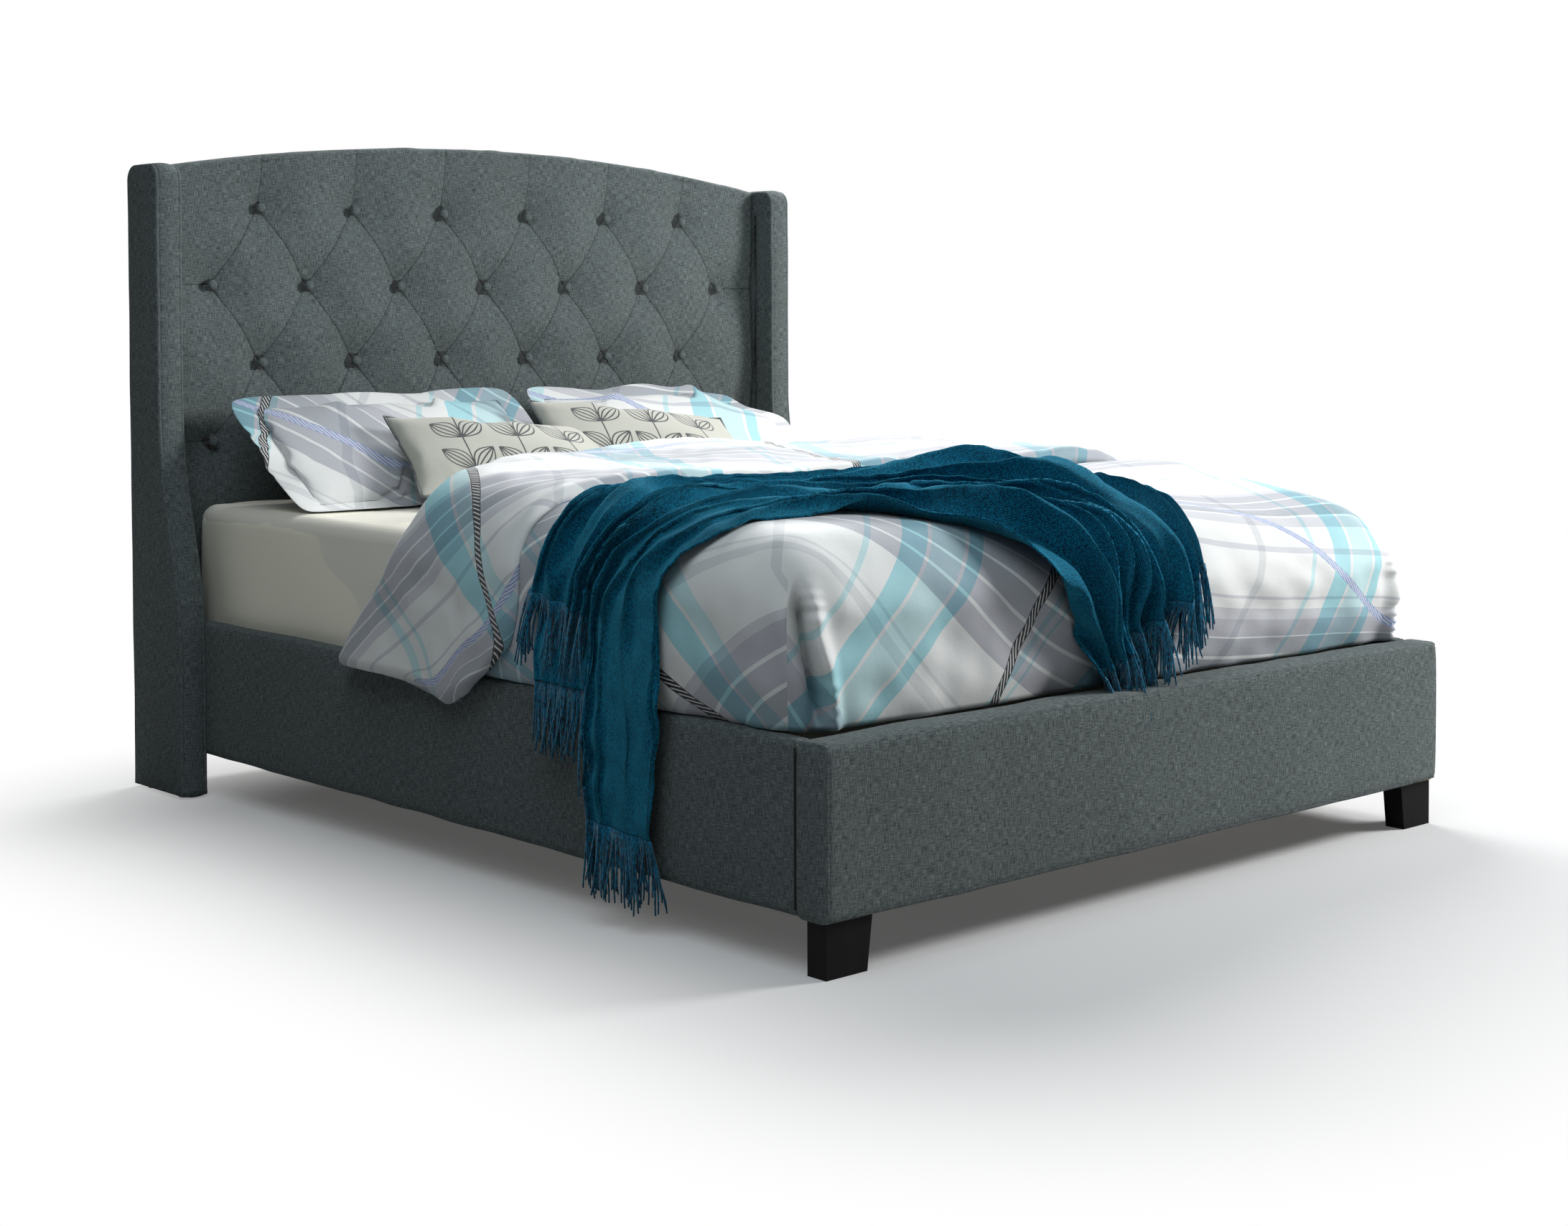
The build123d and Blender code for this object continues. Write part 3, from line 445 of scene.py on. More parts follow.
# printed cotton: off-white ground, aqua bands one way and lilac-grey bands the other that darken each other
# where they cross, thin white lines and two ropes, all turned a little against the cloth
def printedCotton():
    finish = Finish("printedCotton", Roughness=0.62, Sheen_Weight=0.1, Sheen_Roughness=0.4,
                    Specular_IOR_Level=0.25)
    turned = finish.value("VectorRotate", {"Vector": finish.cloth(), "Angle": plaid["turn"]},
                          rotation_type="Z_AXIS")
    across, along, _ = finish.split(turned)
    colour = shade["cottonWhite"]
    families = ((bandPlace(along, across, plaid["lilac"], 0.4), lilacStops),
                (bandPlace(across, along, plaid["aqua"], 0.7), aquaStops))
    for where, stops in families:
        band = finish.ramp(where, [(place, shade[name]) for place, name in stops], steps=True)
        colour = finish.blend(1.0, colour, band, "MULTIPLY")
    ropes = ((along + plaid["ropeApart"], across, 2.0, "ropeBlue"), (across, along, 0.3, "ropeBlack"))
    for beside, ahead, phase, dark in ropes:
        ropeColour, mask = rope(finish, beside, ahead, phase, shade[dark], shade["cottonWhite"])
        colour = finish.blend(mask, colour, ropeColour)
    threads = finish.threads((across * plaid["threadsAcross"], along * plaid["threadsAlong"]))
    grain = finish.ramp(threads, [(0.3, grey(0.93)), (0.7, grey(1.03))])
    finish.feed("Base Color", finish.blend(1.0, colour, grain, "MULTIPLY"))
    finish.bump(finish.noise(finish.place(), 26.0, 3.0) + threads * 0.10, 0.0018)
    return finish.material


# plain woven cotton or linen in one colour, with soft creases
def plainCotton(name, colour, roughness=0.7, creaseScale=14.0, creaseDepth=0.003):
    finish = Finish(name, Roughness=roughness, Sheen_Weight=0.15, Sheen_Roughness=0.5,
                    Specular_IOR_Level=0.25)
    level, rise = finish.facing()
    threads = finish.threads((level * 700.0, rise * 420.0))
    stops = [(0.3, toned(colour, 0.92)), (0.7, toned(colour, 1.05))]
    finish.feed("Base Color", finish.ramp(threads, stops))
    finish.bump(finish.noise(finish.place(), creaseScale, 3.0) + threads * 0.05, creaseDepth)
    return finish.material


sprig = {"columnWidth": 0.125, "columnsHalf": 1.5, "leafRise": 0.088, "leafLength": 0.080,
         "leafHalf": 0.022, "vein": 0.5, "line": 0.0017, "lean": 0.80, "firstLeaf": 0.010}


# cream linen with drawn leaf sprigs: paired leaves up a stem, each an outline whose half-width is
# half*sin(pi*l/length) at the length l along it, with an inner line at a share of that and a rib
def sprigLinen():
    finish = Finish("sprigLinen", Roughness=0.8, Sheen_Weight=0.15, Sheen_Roughness=0.5,
                    Specular_IOR_Level=0.2)
    across, along, _ = finish.split(finish.cloth())
    column, leafRise, line = sprig["columnWidth"], sprig["leafRise"], sprig["line"]
    aside = abs(((across / column + 0.5).fract() - 0.5) * column)
    rise = (along / leafRise).fract() * leafRise - sprig["firstLeaf"]
    leanCos, leanSin = np.cos(sprig["lean"]), np.sin(sprig["lean"])
    length = aside * leanCos + rise * leanSin
    side = abs(rise * leanCos - aside * leanSin)
    inside = (length > 0.0) * (length < sprig["leafLength"])
    swell = (length * (pi / sprig["leafLength"])).sine()
    edge = abs(side - swell * sprig["leafHalf"])
    vein = abs(side - swell * (sprig["leafHalf"] * sprig["vein"]))
    leaf = (edge.least(vein).least(side) < line) * inside
    printed = (abs(along) < leafRise) * (abs(across) < column * sprig["columnsHalf"])
    drawn = leaf.most(aside < line) * printed
    threads = finish.threads((across * 600.0, along * 420.0), 2.0)
    ground = finish.ramp(threads, [(0.3, toned(shade["linen"], 0.93)), (0.7, shade["linen"])])
    finish.feed("Base Color", finish.blend(drawn, ground, shade["lineDark"]))
    finish.bump(finish.noise(finish.place(), 22.0, 3.0) + threads * 0.08, 0.003)
    return finish.material


knit = {"rib": 0.0045, "stitch": 0.0040, "stitchHeight": 0.22, "nap": 280.0,
        "yarnAcross": 300.0, "yarnDown": 160.0}


# teal knit: fine ribs along the cloth, small stitches across them and a soft nap
def tealKnit():
    finish = Finish("tealKnit", Roughness=0.95, Sheen_Weight=0.55, Sheen_Roughness=0.35,
                    Sheen_Tint=(0.12, 0.72, 1.0, 1), Specular_IOR_Level=0.1)
    along, across, _ = finish.split(finish.cloth())
    ribs = (across * (2 * pi / knit["rib"])).sine()
    stitches = (along * (2 * pi / knit["stitch"])).sine()
    height = ribs * stitches * knit["stitchHeight"] + finish.noise(finish.place(), knit["nap"], 3.0)
    stops = [(0.36, shade["tealDark"]), (0.66, shade["tealLight"])]
    finish.feed("Base Color", finish.ramp(height, stops))
    finish.bump(height, 0.0022, 1.0)
    return finish.material


def yarn():
    finish = Finish("tealYarn", Roughness=0.9, Sheen_Weight=0.25, Sheen_Roughness=0.5,
                    Specular_IOR_Level=0.1)
    x, y, z = finish.split(finish.place())
    twist = finish.threads((x * knit["yarnAcross"], y * knit["yarnAcross"], z * knit["yarnDown"]))
    finish.feed("Base Color", finish.ramp(twist, [(0.3, shade["tealDark"]), (0.7, shade["tealLight"])]))
    finish.bump(twist, 0.001, 0.6)
    return finish.material


timber = {"stretch": 0.06, "rings": 0.75, "pores": 0.25, "poreScale": 14}


# wood: rings of a noise stretched along one axis, with fine pores
def wood(name, dark, light, roughness, along=0, ringScale=26.0, specular=0.5):
    finish = Finish(name, Roughness=roughness, Specular_IOR_Level=specular)
    parts = finish.split(finish.place())
    parts[along] = parts[along] * timber["stretch"]
    stretched = finish.join(*parts)
    rings = finish.noise(stretched, ringScale, 4.0) * timber["rings"]
    grain = rings + finish.noise(stretched, ringScale * timber["poreScale"]) * timber["pores"]
    finish.feed("Base Color", finish.ramp(grain, [(0.35, dark), (0.65, light)]))
    finish.bump(grain, 0.0006)
    return finish.material


# painted, plated or moulded: one colour broken up by fine mottling
def mottled(name, dark, light, scale, depth, **sockets):
    finish = Finish(name, **sockets)
    speck = finish.noise(finish.place(), scale, 3.0)
    finish.feed("Base Color", finish.ramp(speck, [(0.35, dark), (0.65, light)]))
    finish.bump(speck, depth)
    return finish.material


linenFinish = slateLinen("slateLinen")
printFinish = printedCotton()
sheetFinish = plainCotton("creamCotton", shade["cream"], 0.65, 5.0, 0.0012)
cushionFinish = sprigLinen()
pipingFinish = plainCotton("darkPiping", shade["piping"])
# painted shade: near-black cloth for the cord that stands for the shade in each footboard seam
seamShadeFinish = plainCotton("paintedSeamShade", shade["seam"], 0.95)
knitFinish = tealKnit()
yarnFinish = yarn()
pineShades = (0.48, 0.33, 0.18, 1), (0.70, 0.54, 0.34, 1)
cadFinishes = {
    "pine": wood("pine", *pineShades, 0.6),
    "pineAlong": wood("pineAlong", *pineShades, 0.6, 1),
    "ply": wood("plywood", (0.46, 0.33, 0.20, 1), (0.66, 0.52, 0.34, 1), 0.65, 2, 9.0),
    "leg": wood("blackWood", grey(0.003), (0.007, 0.006, 0.006, 1), 0.6, 2, specular=0.08),
    "steel": mottled("blackSteel", (0.02, 0.02, 0.022, 1), (0.035, 0.035, 0.037, 1), 300.0, 0.0004,
                     Roughness=0.45, Metallic=0.0),
    "zinc": mottled("zincPlate", (0.42, 0.42, 0.40, 1), (0.62, 0.62, 0.60, 1), 60.0, 0.0002,
                    Roughness=0.32, Metallic=1.0),
    "plastic": mottled("blackNylon", grey(0.012), grey(0.022), 500.0, 0.0003, Roughness=0.5),
    "ticking": plainCotton("ticking", (0.74, 0.71, 0.62, 1), 0.8),
    "dust": mottled("dustCloth", (0.010, 0.010, 0.011, 1), (0.026, 0.026, 0.028, 1), 420.0, 0.0005,
                    Roughness=0.95),
    "foam": mottled("foam", (0.62, 0.56, 0.38, 1), (0.74, 0.69, 0.50, 1), 240.0, 0.001, Roughness=0.95),
    "web": plainCotton("webbing", (0.62, 0.60, 0.54, 1), 0.85),
    "linen": linenFinish,
}
print("stage: finishes made")

# what each CAD node is made of, by the start of its name
cadDressing = {
    "pine": ("slat_", "footboard_battens", "headboard_stud_frame", "headboard_cross_rail"),
    "pineAlong": ("ledger", "centre_beam", "centre_leg", "side_rail_core"),
    "ply": ("wing_core", "headboard_panel", "footboard_front_board", "footboard_back_board"),
    "steel": ("rail_brackets", "beam_hangers"),
    "zinc": ("bracket_bolts", "wing_bolts", "leg_bolts", "wood_screws", "leg_inserts", "levelling_stud"),
    "plastic": ("foot_pad", "wing_glides"),
    "ticking": ("mattress",),
    "dust": ("headboard_back_cover",),
    "foam": ("headboard_foam",),
    "web": ("slat_straps", "button_ties"),
    "leg": ("front_leg",),
}
for nodeName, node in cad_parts.items():
    kinds = [kind for kind, starts in cadDressing.items() if nodeName.startswith(starts)]
    node.data.materials.clear()
    node.data.materials.append(cadFinishes[kinds[-1] if kinds else "linen"])


def corners(nodeName):
    low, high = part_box(nodeName)
    return np.array(low), np.array(high)


# Tufted headboard front
tufting = {
    "step": 0.0034, "edgeRadius": 0.016, "wall": 0.002, "topDepth": 0.0022, "topFade": 0.02,
    "dimple": 0.0346, "dimpleReach": 0.070, "dimplePower": 1.25, "blendRate": 50.0, "buttonRound": 0.004,
    "groove": 0.0010, "grooveReach": 0.0050, "creaseRound": 0.0012,
    "pleatStep": 0.0005, "pleatWidth": 0.0015, "pleatReach": 0.012, "puff": 0.0050, "puffReach": 0.040,
    "slack": 0.0012, "plainBelow": 0.42, "depthStarts": (0.36, 0.46), "slackStarts": (0.4, 0.5),
    "plainRows": (0, 0.27, 10), "tuftedRows": (0.275, 1, 300), "turnRun": 0.57,
}
buttonLow, buttonHigh = corners("headboard_buttons")
coverLow, coverHigh = corners("headboard_cover")
panelLow = corners("headboard_panel")[0]
wingLow, wingHigh = corners("wing_cover_right")
buttonRadius = 0.0105
rowCount, topRowButtons = 4, 6
rowGap = (buttonHigh[2] - buttonLow[2] - 2 * buttonRadius) / (rowCount - 1)
colGap = (buttonHigh[0] - buttonLow[0] - 2 * buttonRadius) / topRowButtons
topRow = buttonHigh[2] - buttonRadius
buttonRows = []
for row in range(rowCount):
    count = topRowButtons + row % 2
    buttonRows.append([((i - (count - 1) / 2) * colGap, topRow - row * rowGap) for i in range(count)])
buttonPlaces = np.array([place for row in buttonRows for place in row])
headHalf = coverHigh[0]
shoulderHeight, crownHeight = wingHigh[2], coverHigh[2]
archRise = crownHeight - shoulderHeight
archRadius = (headHalf ** 2 + archRise ** 2) / (2 * archRise)


# the arch is part of a circle over the headboard's width
def archHeight(x):
    return crownHeight - archRadius + np.sqrt(archRadius ** 2 - x ** 2)


# each crease as two points in (x, z): to the next row's buttons, up, down and out to the sides
def creaseLines():
    lines = []
    for upper, lower in zip(buttonRows, buttonRows[1:]):
        for x, z in upper:
            lines += [((x, z), (lx, lz)) for lx, lz in lower if abs(lx - x) < colGap * 0.6]
    lines += [((x, z), (x, crownHeight + 0.1)) for x, z in buttonRows[0]]
    lines += [((x, z), (x, tufting["plainBelow"])) for x, z in buttonRows[-1]]
    for row in buttonRows[1::2]:
        lines += [((x, z), (np.sign(x) * headHalf, z)) for x, z in (row[0], row[-1])]
    return lines


# how far the cover is pulled back at (x, z): a wide dimple round the nearest button, where the distances
# to all of them blend smoothly, a narrow groove along each crease, a soft fall towards it, and a small step
# across it where the pleat folds over, all dying away
def tuftDepth(x, z):
    nearest = np.full(x.shape, 9.0)
    signed = np.zeros(x.shape)
    for (x0, z0), (x1, z1) in creaseLines():
        dx, dz = x1 - x0, z1 - z0
        length = np.hypot(dx, dz)
        t = np.clip(((x - x0) * dx + (z - z0) * dz) / length ** 2, 0, 1)
        away = np.hypot(x - x0 - t * dx, z - z0 - t * dz)
        closer = away < nearest
        cross = ((x - x0) * dz - (z - z0) * dx) / length
        nearest = np.where(closer, away, nearest)
        signed = np.where(closer, cross, signed)
    soft = np.sqrt(nearest ** 2 + tufting["creaseRound"] ** 2)
    depth = tufting["groove"] * np.exp(-soft / tufting["grooveReach"])
    depth += tufting["puff"] * np.exp(-soft / tufting["puffReach"])
    pleat = np.tanh(signed / tufting["pleatWidth"]) * np.exp(-soft / tufting["pleatReach"])
    depth += tufting["pleatStep"] * pleat
    near = np.zeros(x.shape)
    for bx, bz in buttonPlaces:
        away = np.sqrt((x - bx) ** 2 + (z - bz) ** 2 + tufting["buttonRound"] ** 2)
        near += np.exp(-tufting["blendRate"] * away)
    reach = -np.log(np.maximum(near, 1e-30)) / tufting["blendRate"]
    share = np.maximum(reach, 0) / tufting["dimpleReach"]
    return depth + tufting["dimple"] * np.exp(-share ** tufting["dimplePower"])


# the cover follows a section that rises up the front, turns over the arch on a quarter circle, runs back
# over the top and returns behind itself to the bottom; the tuft depth is taken along its normal
def makeTufting():
    radius, front, back = tufting["edgeRadius"], coverLow[1], coverHigh[1]
    inside = panelLow[1]
    x = np.linspace(-headHalf, headHalf, round(2 * headHalf / tufting["step"]) + 1)
    rise = np.concatenate([np.linspace(*tufting["plainRows"]), np.linspace(*tufting["tuftedRows"])])
    top = archHeight(x)
    low = coverLow[2]
    frontZ = low + rise[:, None] * (top - radius - low)[None, :]
    turn = np.linspace(0, pi / 2, 9)[1:]
    run = np.linspace(front + radius, back, 12)[1:]
    count = len(rise) + len(turn) + len(run)
    xs = np.broadcast_to(x, (count, len(x)))
    y = np.concatenate([np.full(len(rise), front), front + radius * (1 - np.cos(turn)), run])
    outwardY = np.concatenate([np.full(len(rise), -1.0), -np.cos(turn), np.zeros(len(run))])
    outwardZ = np.concatenate([np.zeros(len(rise)), np.sin(turn), np.ones(len(run))])
    over = radius * (np.sin(turn)[:, None] - 1)
    z = np.concatenate([frontZ, top[None] + over, np.broadcast_to(top, (len(run), len(x)))])
    lengthUp = np.concatenate([frontZ, (top - radius)[None] + radius * turn[:, None],
                               top[None] + radius * tufting["turnRun"] + (run - front - radius)[:, None]])
    ys = np.broadcast_to(y[:, None], xs.shape)
    depth = tuftDepth(xs, lengthUp)
    fade = np.where(ys > front + radius, np.exp(-(ys - front - radius) / tufting["topFade"]), 1.0)
    depth = depth * ease(*tufting["depthStarts"], lengthUp) * fade
    aside = np.clip(radius - (headHalf - np.abs(xs)), 0, radius)
    roll = (radius - np.sqrt(radius ** 2 - aside ** 2)) * -outwardY[:, None]
    slack = tufting["slack"] * ripples(np.stack([xs, ys, z], -1), 0.05, 0.16, 11)
    depth = depth + roll + slack * ease(*tufting["slackStarts"], lengthUp) * fade
    upright = 1 - outwardZ[:, None]
    depth = depth * upright + np.minimum(depth, tufting["topDepth"]) * (1 - upright)
    ys = ys - outwardY[:, None] * depth
    zs = z - outwardZ[:, None] * depth
    lipY = np.array([np.full(len(x), place) for place in (back, inside, inside)])
    lipZ = np.array([top - tufting["wall"], top - tufting["wall"], np.full(len(x), low)])
    allX = np.concatenate([xs, np.broadcast_to(x, lipY.shape)])
    points = np.stack([allX, np.concatenate([ys, lipY]), np.concatenate([zs, lipZ])], -1)
    rows, cols = points.shape[:2]
    faces = gridFaces(rows, cols, closeRows=True)
    ends = [np.arange(rows)[::-1] * cols, np.arange(rows) * cols + cols - 1]
    piece = addMesh("headboardTufting", points, faces, caps=ends)
    # the tufted front's linen, with painted shade along its creases
    tuftedFinish = slateLinen("tuftedLinenCreaseShade", (colGap, rowGap, topRow))
    dress(piece, tuftedFinish, "frame", "upholstery", "headboard_cover", "headboard_foam")


button = {"cloth": 1.08, "height": 0.0100, "sides": 22, "foldDepth": 0.012, "folds": 11, "sunk": 0.001}


# a covered button: a low dome on a short skirt, turned about its axis, with faint folds gathered round it
def makeButtons():
    radii = np.array([0.0, 0.25, 0.5, 0.72, 0.88, 0.97, 1.0, 0.97, 0.86]) * buttonRadius * button["cloth"]
    heights = np.array([1.0, 0.98, 0.92, 0.80, 0.62, 0.40, 0.18, 0.02, -0.15]) * button["height"]
    angles = np.arange(button["sides"]) * 2 * pi / button["sides"]
    folds = 1 + button["foldDepth"] * np.cos(angles * button["folds"])
    ringX = radii[:, None] * np.cos(angles) * folds
    ringZ = radii[:, None] * np.sin(angles) * folds
    ringY = np.broadcast_to(-heights[:, None], ringX.shape)
    one = np.stack([ringX, ringY, ringZ], -1).reshape(-1, 3)
    seatY = np.full(len(buttonPlaces), buttonHigh[1] - button["sunk"])
    centres = np.stack([buttonPlaces[:, 0], seatY, buttonPlaces[:, 1]], -1)
    points = (centres[:, None] + one[None]).reshape(-1, 3)
    grid = gridFaces(len(radii), len(angles), closeCols=True)
    faces = (grid[None] + (np.arange(len(centres)) * len(one))[:, None, None]).reshape(-1, 4)
    backRing = (len(radii) - 1) * len(angles) + np.arange(len(angles))
    caps = [backRing + k * len(one) for k in range(len(centres))]
    piece = addMesh("headboardButtons", points, faces, caps=caps)
    dress(piece, linenFinish, "frame", "button_fabric", "headboard_buttons")


makeTufting()
makeButtons()
print("stage: headboard")

# Wings
wing = {"edge": 0.006, "seam": 0.0016, "seamWidth": 0.0015, "bandCrown": 0.0030, "facePuff": 0.0022,
        "slack": 0.0006, "cornerRadius": 0.034, "slantLow": 0.330, "slantHigh": 0.830, "ease": 0.36,
        "topDepth": 0.134, "footDepth": 0.222, "middleShare": 0.02, "frontPoints": 90}


# the wing's outline in (y, z): foot, straight front, an eased slant, straight front, two rounded top
# corners, back; the slant is a cubic whose two middle points lie straight above and below its ends
def wingOutline():
    back, top, low = wingHigh[1], wingHigh[2], wingLow[2]
    frontLow, frontHigh = back - wing["footDepth"], back - wing["topDepth"]
    t = np.linspace(0, 1, 60)
    reach = (wing["slantHigh"] - wing["slantLow"]) * wing["ease"]
    slantY = frontLow + (frontHigh - frontLow) * (3 * (1 - t) * t ** 2 + t ** 3)
    controls = [wing["slantLow"], wing["slantLow"] + reach, wing["slantHigh"] - reach, wing["slantHigh"]]
    weights = [(1 - t) ** 3, 3 * (1 - t) ** 2 * t, 3 * (1 - t) * t ** 2, t ** 3]
    slantZ = sum(c * w for c, w in zip(controls, weights))
    radius = wing["cornerRadius"]
    turn = np.linspace(0, pi / 2, 14)
    lowerZ = np.linspace(low, wing["slantLow"], 24)[:-1]
    upperZ = np.linspace(wing["slantHigh"], top - radius, 36)[1:-1]
    acrossY = np.linspace(frontHigh + radius, back - radius, 8)[1:-1]
    backZ = np.linspace(top - radius, low, 70)[1:]
    acrossLow = np.linspace(back, frontLow, 14)[1:-1]
    y = np.concatenate([np.full(len(lowerZ), frontLow), slantY, np.full(len(upperZ), frontHigh),
                        frontHigh + radius * (1 - np.cos(turn)), acrossY,
                        back - radius * (1 - np.sin(turn)), np.full(len(backZ), back), acrossLow])
    z = np.concatenate([lowerZ, slantZ, upperZ, top - radius * (1 - np.sin(turn)),
                        np.full(len(acrossY), top), top - radius * (1 - np.cos(turn)), backZ,
                        np.full(len(acrossLow), low)])
    return np.stack([y, z], -1)


# rings from the middle of the outer face, out to the outline, over the band and in to the middle of the inner
# face; an inset of the outline along its normal makes the rounded edges and the seams beside the band
def makeWing(side):
    outline = wingOutline()
    ahead = unit(np.roll(outline, -1, 0) - np.roll(outline, 1, 0))
    inward = np.stack([ahead[:, 1], -ahead[:, 0]], -1)
    halfDepth = wing["topDepth"] / 2
    middleZ = np.clip(outline[:, 1], wingLow[2] + halfDepth, wingHigh[2] - halfDepth)
    front = outline[:wing["frontPoints"]]
    frontAt = np.interp(middleZ, front[:, 1], front[:, 0])
    middle = np.stack([(frontAt + wingHigh[1]) / 2, middleZ], -1)
    inner, outer = wingLow[0], wingHigh[0]
    edge, seam, seamWidth = wing["edge"], wing["seam"], wing["seamWidth"]
    rings = []
    faceShares = np.linspace(wing["middleShare"], 1, 8)[:-1]
    for share in faceShares:
        rings.append((share, 0.0, outer + wing["facePuff"] * (1 - share ** 3)))
    turns = np.linspace(0, pi / 2, 6)
    for turn in turns:
        rings.append((1.0, edge * (1 - np.sin(turn)), outer - edge * (1 - np.cos(turn))))
    rings.append((1.0, seam, outer - edge - seamWidth))
    halfBand = (outer - inner) / 2 - edge - 2 * seamWidth
    for share in np.linspace(-1, 1, 11):
        rings.append((1.0, -wing["bandCrown"] * (1 - share ** 2), (outer + inner) / 2 - share * halfBand))
    rings.append((1.0, seam, inner + edge + seamWidth))
    for turn in turns[::-1]:
        rings.append((1.0, edge * (1 - np.sin(turn)), inner + edge * (1 - np.cos(turn))))
    for share in faceShares[::-1]:
        rings.append((share, 0.0, inner))
    points = []
    for share, inset, x in rings:
        rim = outline + inward * (inset if share == 1.0 else edge)
        flat = middle + (rim - middle) * share
        points.append(np.stack([np.full(len(flat), x), flat[:, 0], flat[:, 1]], -1))
    points = np.array(points)
    points[..., 0] += wing["slack"] * ripples(points, 0.08, 0.25, 21)
    points[..., 0] *= side
    rows, cols = points.shape[:2]
    word = sideWords[side]
    faces = gridFaces(rows, cols, closeCols=True, flip=side > 0)
    caps = [np.arange(cols)[::side], (rows - 1) * cols + np.arange(cols)]
    piece = addMesh("wingUpholstery" + word.title(), points, faces, caps=caps)
    dress(piece, linenFinish, "frame", "upholstery", "wing_cover_" + word)


for side in (-1, 1):
    makeWing(side)
print("stage: wings")

# Side rails and footboard
upholstery = {
    "radius": 0.013, "slack": 0.0009, "endGap": 0.0005, "railStep": 0.012, "railCrown": 0.0022,
    "footStep": 0.009, "footCrown": 0.0030, "seamRadius": 0.0022, "seamPlace": 0.012, "seamSunk": 0.0005,
    "seamPoints": 24,
}


# a padded board: a rounded box, fuller in the middle of each face, with slight slackness in the cloth
def paddedBoard(low, high, step, crown):
    points, normals, faces, _ = roundedBox(low, high, upholstery["radius"], step, turns=5)
    middle, half = (low + high) / 2, (high - low) / 2
    share = np.clip(np.abs(points - middle) / half, 0, 1)
    fullness = np.prod(1 - share ** 6 * (np.abs(normals) < 0.5), axis=1)
    swell = crown * fullness + upholstery["slack"] * ripples(points, 0.06, 0.3, 31, stretch=(1, 1, 0.4))
    return points + normals * swell[:, None], faces


def makeRail(side):
    node = "side_rail_cover_" + sideWords[side]
    low, high = corners(node)
    low[1] += upholstery["endGap"]
    points, faces = paddedBoard(low, high, upholstery["railStep"], upholstery["railCrown"])
    piece = addMesh("railUpholstery" + sideWords[side].title(), points, faces)
    dress(piece, linenFinish, "frame", "upholstery", node)


# the footboard, with a near-black cord down each front corner and down each joint with a rail: the seam is
# real, the cord's darkness is painted shade of its groove
def makeFootboard():
    low, high = corners("footboard_cover")
    points, faces = paddedBoard(low, high, upholstery["footStep"], upholstery["footCrown"])
    piece = addMesh("footboardUpholstery", points, faces)
    dress(piece, linenFinish, "frame", "upholstery", "footboard_cover")
    place, count = upholstery["seamPlace"], upholstery["seamPoints"]
    seamX = high[0] - upholstery["seamSunk"]
    seamZ = np.linspace(low[2] + place, high[2] - place, count)
    # painted shade: each cord stands for the shadow in a seam groove
    seamShadePaths = [np.stack([np.full(count, side * seamX), np.full(count, seamY), seamZ], -1)
             for side in (-1, 1) for seamY in (low[1] + place, high[1])]
    seamPoints, seamFaces, seamCaps = tubes(np.array(seamShadePaths), upholstery["seamRadius"], 6, 1.0)
    seamShadeCords = addMesh("footboardSeamShade", seamPoints, seamFaces, caps=seamCaps)
    dress(seamShadeCords, seamShadeFinish, "frame", "upholstery")


for side in (-1, 1):
    makeRail(side)
makeFootboard()
print("stage: rails and footboard")

# Fitted sheet
sheetForm = {
    "radius": 0.042, "step": 0.022, "wall": 0.0015, "pucker": 0.0035, "puckerReach": 0.16, "puckers": 9,
    "puckerLean": 14, "edgeWrinkle": 0.0016, "edgeReach": 0.03, "soft": 0.002,
}


# the sheet hugs the mattress: a rounded box with no underside, with puckers drawn towards its corners
def makeSheet():
    low, high = corners("fitted_sheet")
    points, normals, faces, cloth = roundedBox(low, high, sheetForm["radius"], sheetForm["step"], 7,
                                               missing=[(2, -1)])
    cornerX = high[0] - np.abs(points[:, 0])
    cornerY = np.minimum(high[1] - points[:, 1], points[:, 1] - low[1])
    near = np.exp(-(np.hypot(cornerX, cornerY) / sheetForm["puckerReach"]) ** 2)
    spin = np.arctan2(cornerX, cornerY) * sheetForm["puckers"]
    pucker = sheetForm["pucker"] * near * np.sin(spin + sheetForm["puckerLean"] * points[:, 2])
    below = (high[2] - points[:, 2]) / sheetForm["edgeReach"]
    edge = np.exp(-below ** 2) * (1 - np.abs(normals[:, 2]))
    pucker = pucker + sheetForm["edgeWrinkle"] * edge * ripples(points, 0.03, 0.09, 41)
    soft = sheetForm["soft"] * ripples(points, 0.2, 0.6, 42) - sheetForm["soft"]
    piece = addMesh("fittedSheet", points + normals * (pucker + soft)[:, None], faces, cloth)
    addWall(piece, sheetForm["wall"], -1)
    dress(piece, sheetFinish, "mattress", "cream_cotton", "fitted_sheet")


makeSheet()
print("stage: sheet")

# Duvet
duvetLow = corners("duvet")[0]
railTop = corners("side_rail_cover_left")[1][2]
sheetTop = corners("fitted_sheet")[1][2]
duvet = {
    "halfWidth": 0.838, "foot": duvetLow[1] + 0.004, "top": 0.698, "radius": 0.140, "hem": railTop + 0.004,
    "head": 0.330, "step": 0.010, "innerHalf": 0.772, "innerFoot": -0.994, "swell": 0.008,
    "wrinkle": 0.0020, "curlHeight": 0.110, "curlSide": 0.032, "curlFoot": 0.008,
    "sagStart": -0.50, "sagLength": 0.56, "sagLimit": 1.1, "sagPower": 1.6, "sag": 0.055,
    "sagTilt": 0.036, "sagHalf": 0.75, "sagAbove": 1.15,
    "turns": 24, "headGap": 0.045, "aboveSheet": 0.003, "thinnest": 0.006,
}
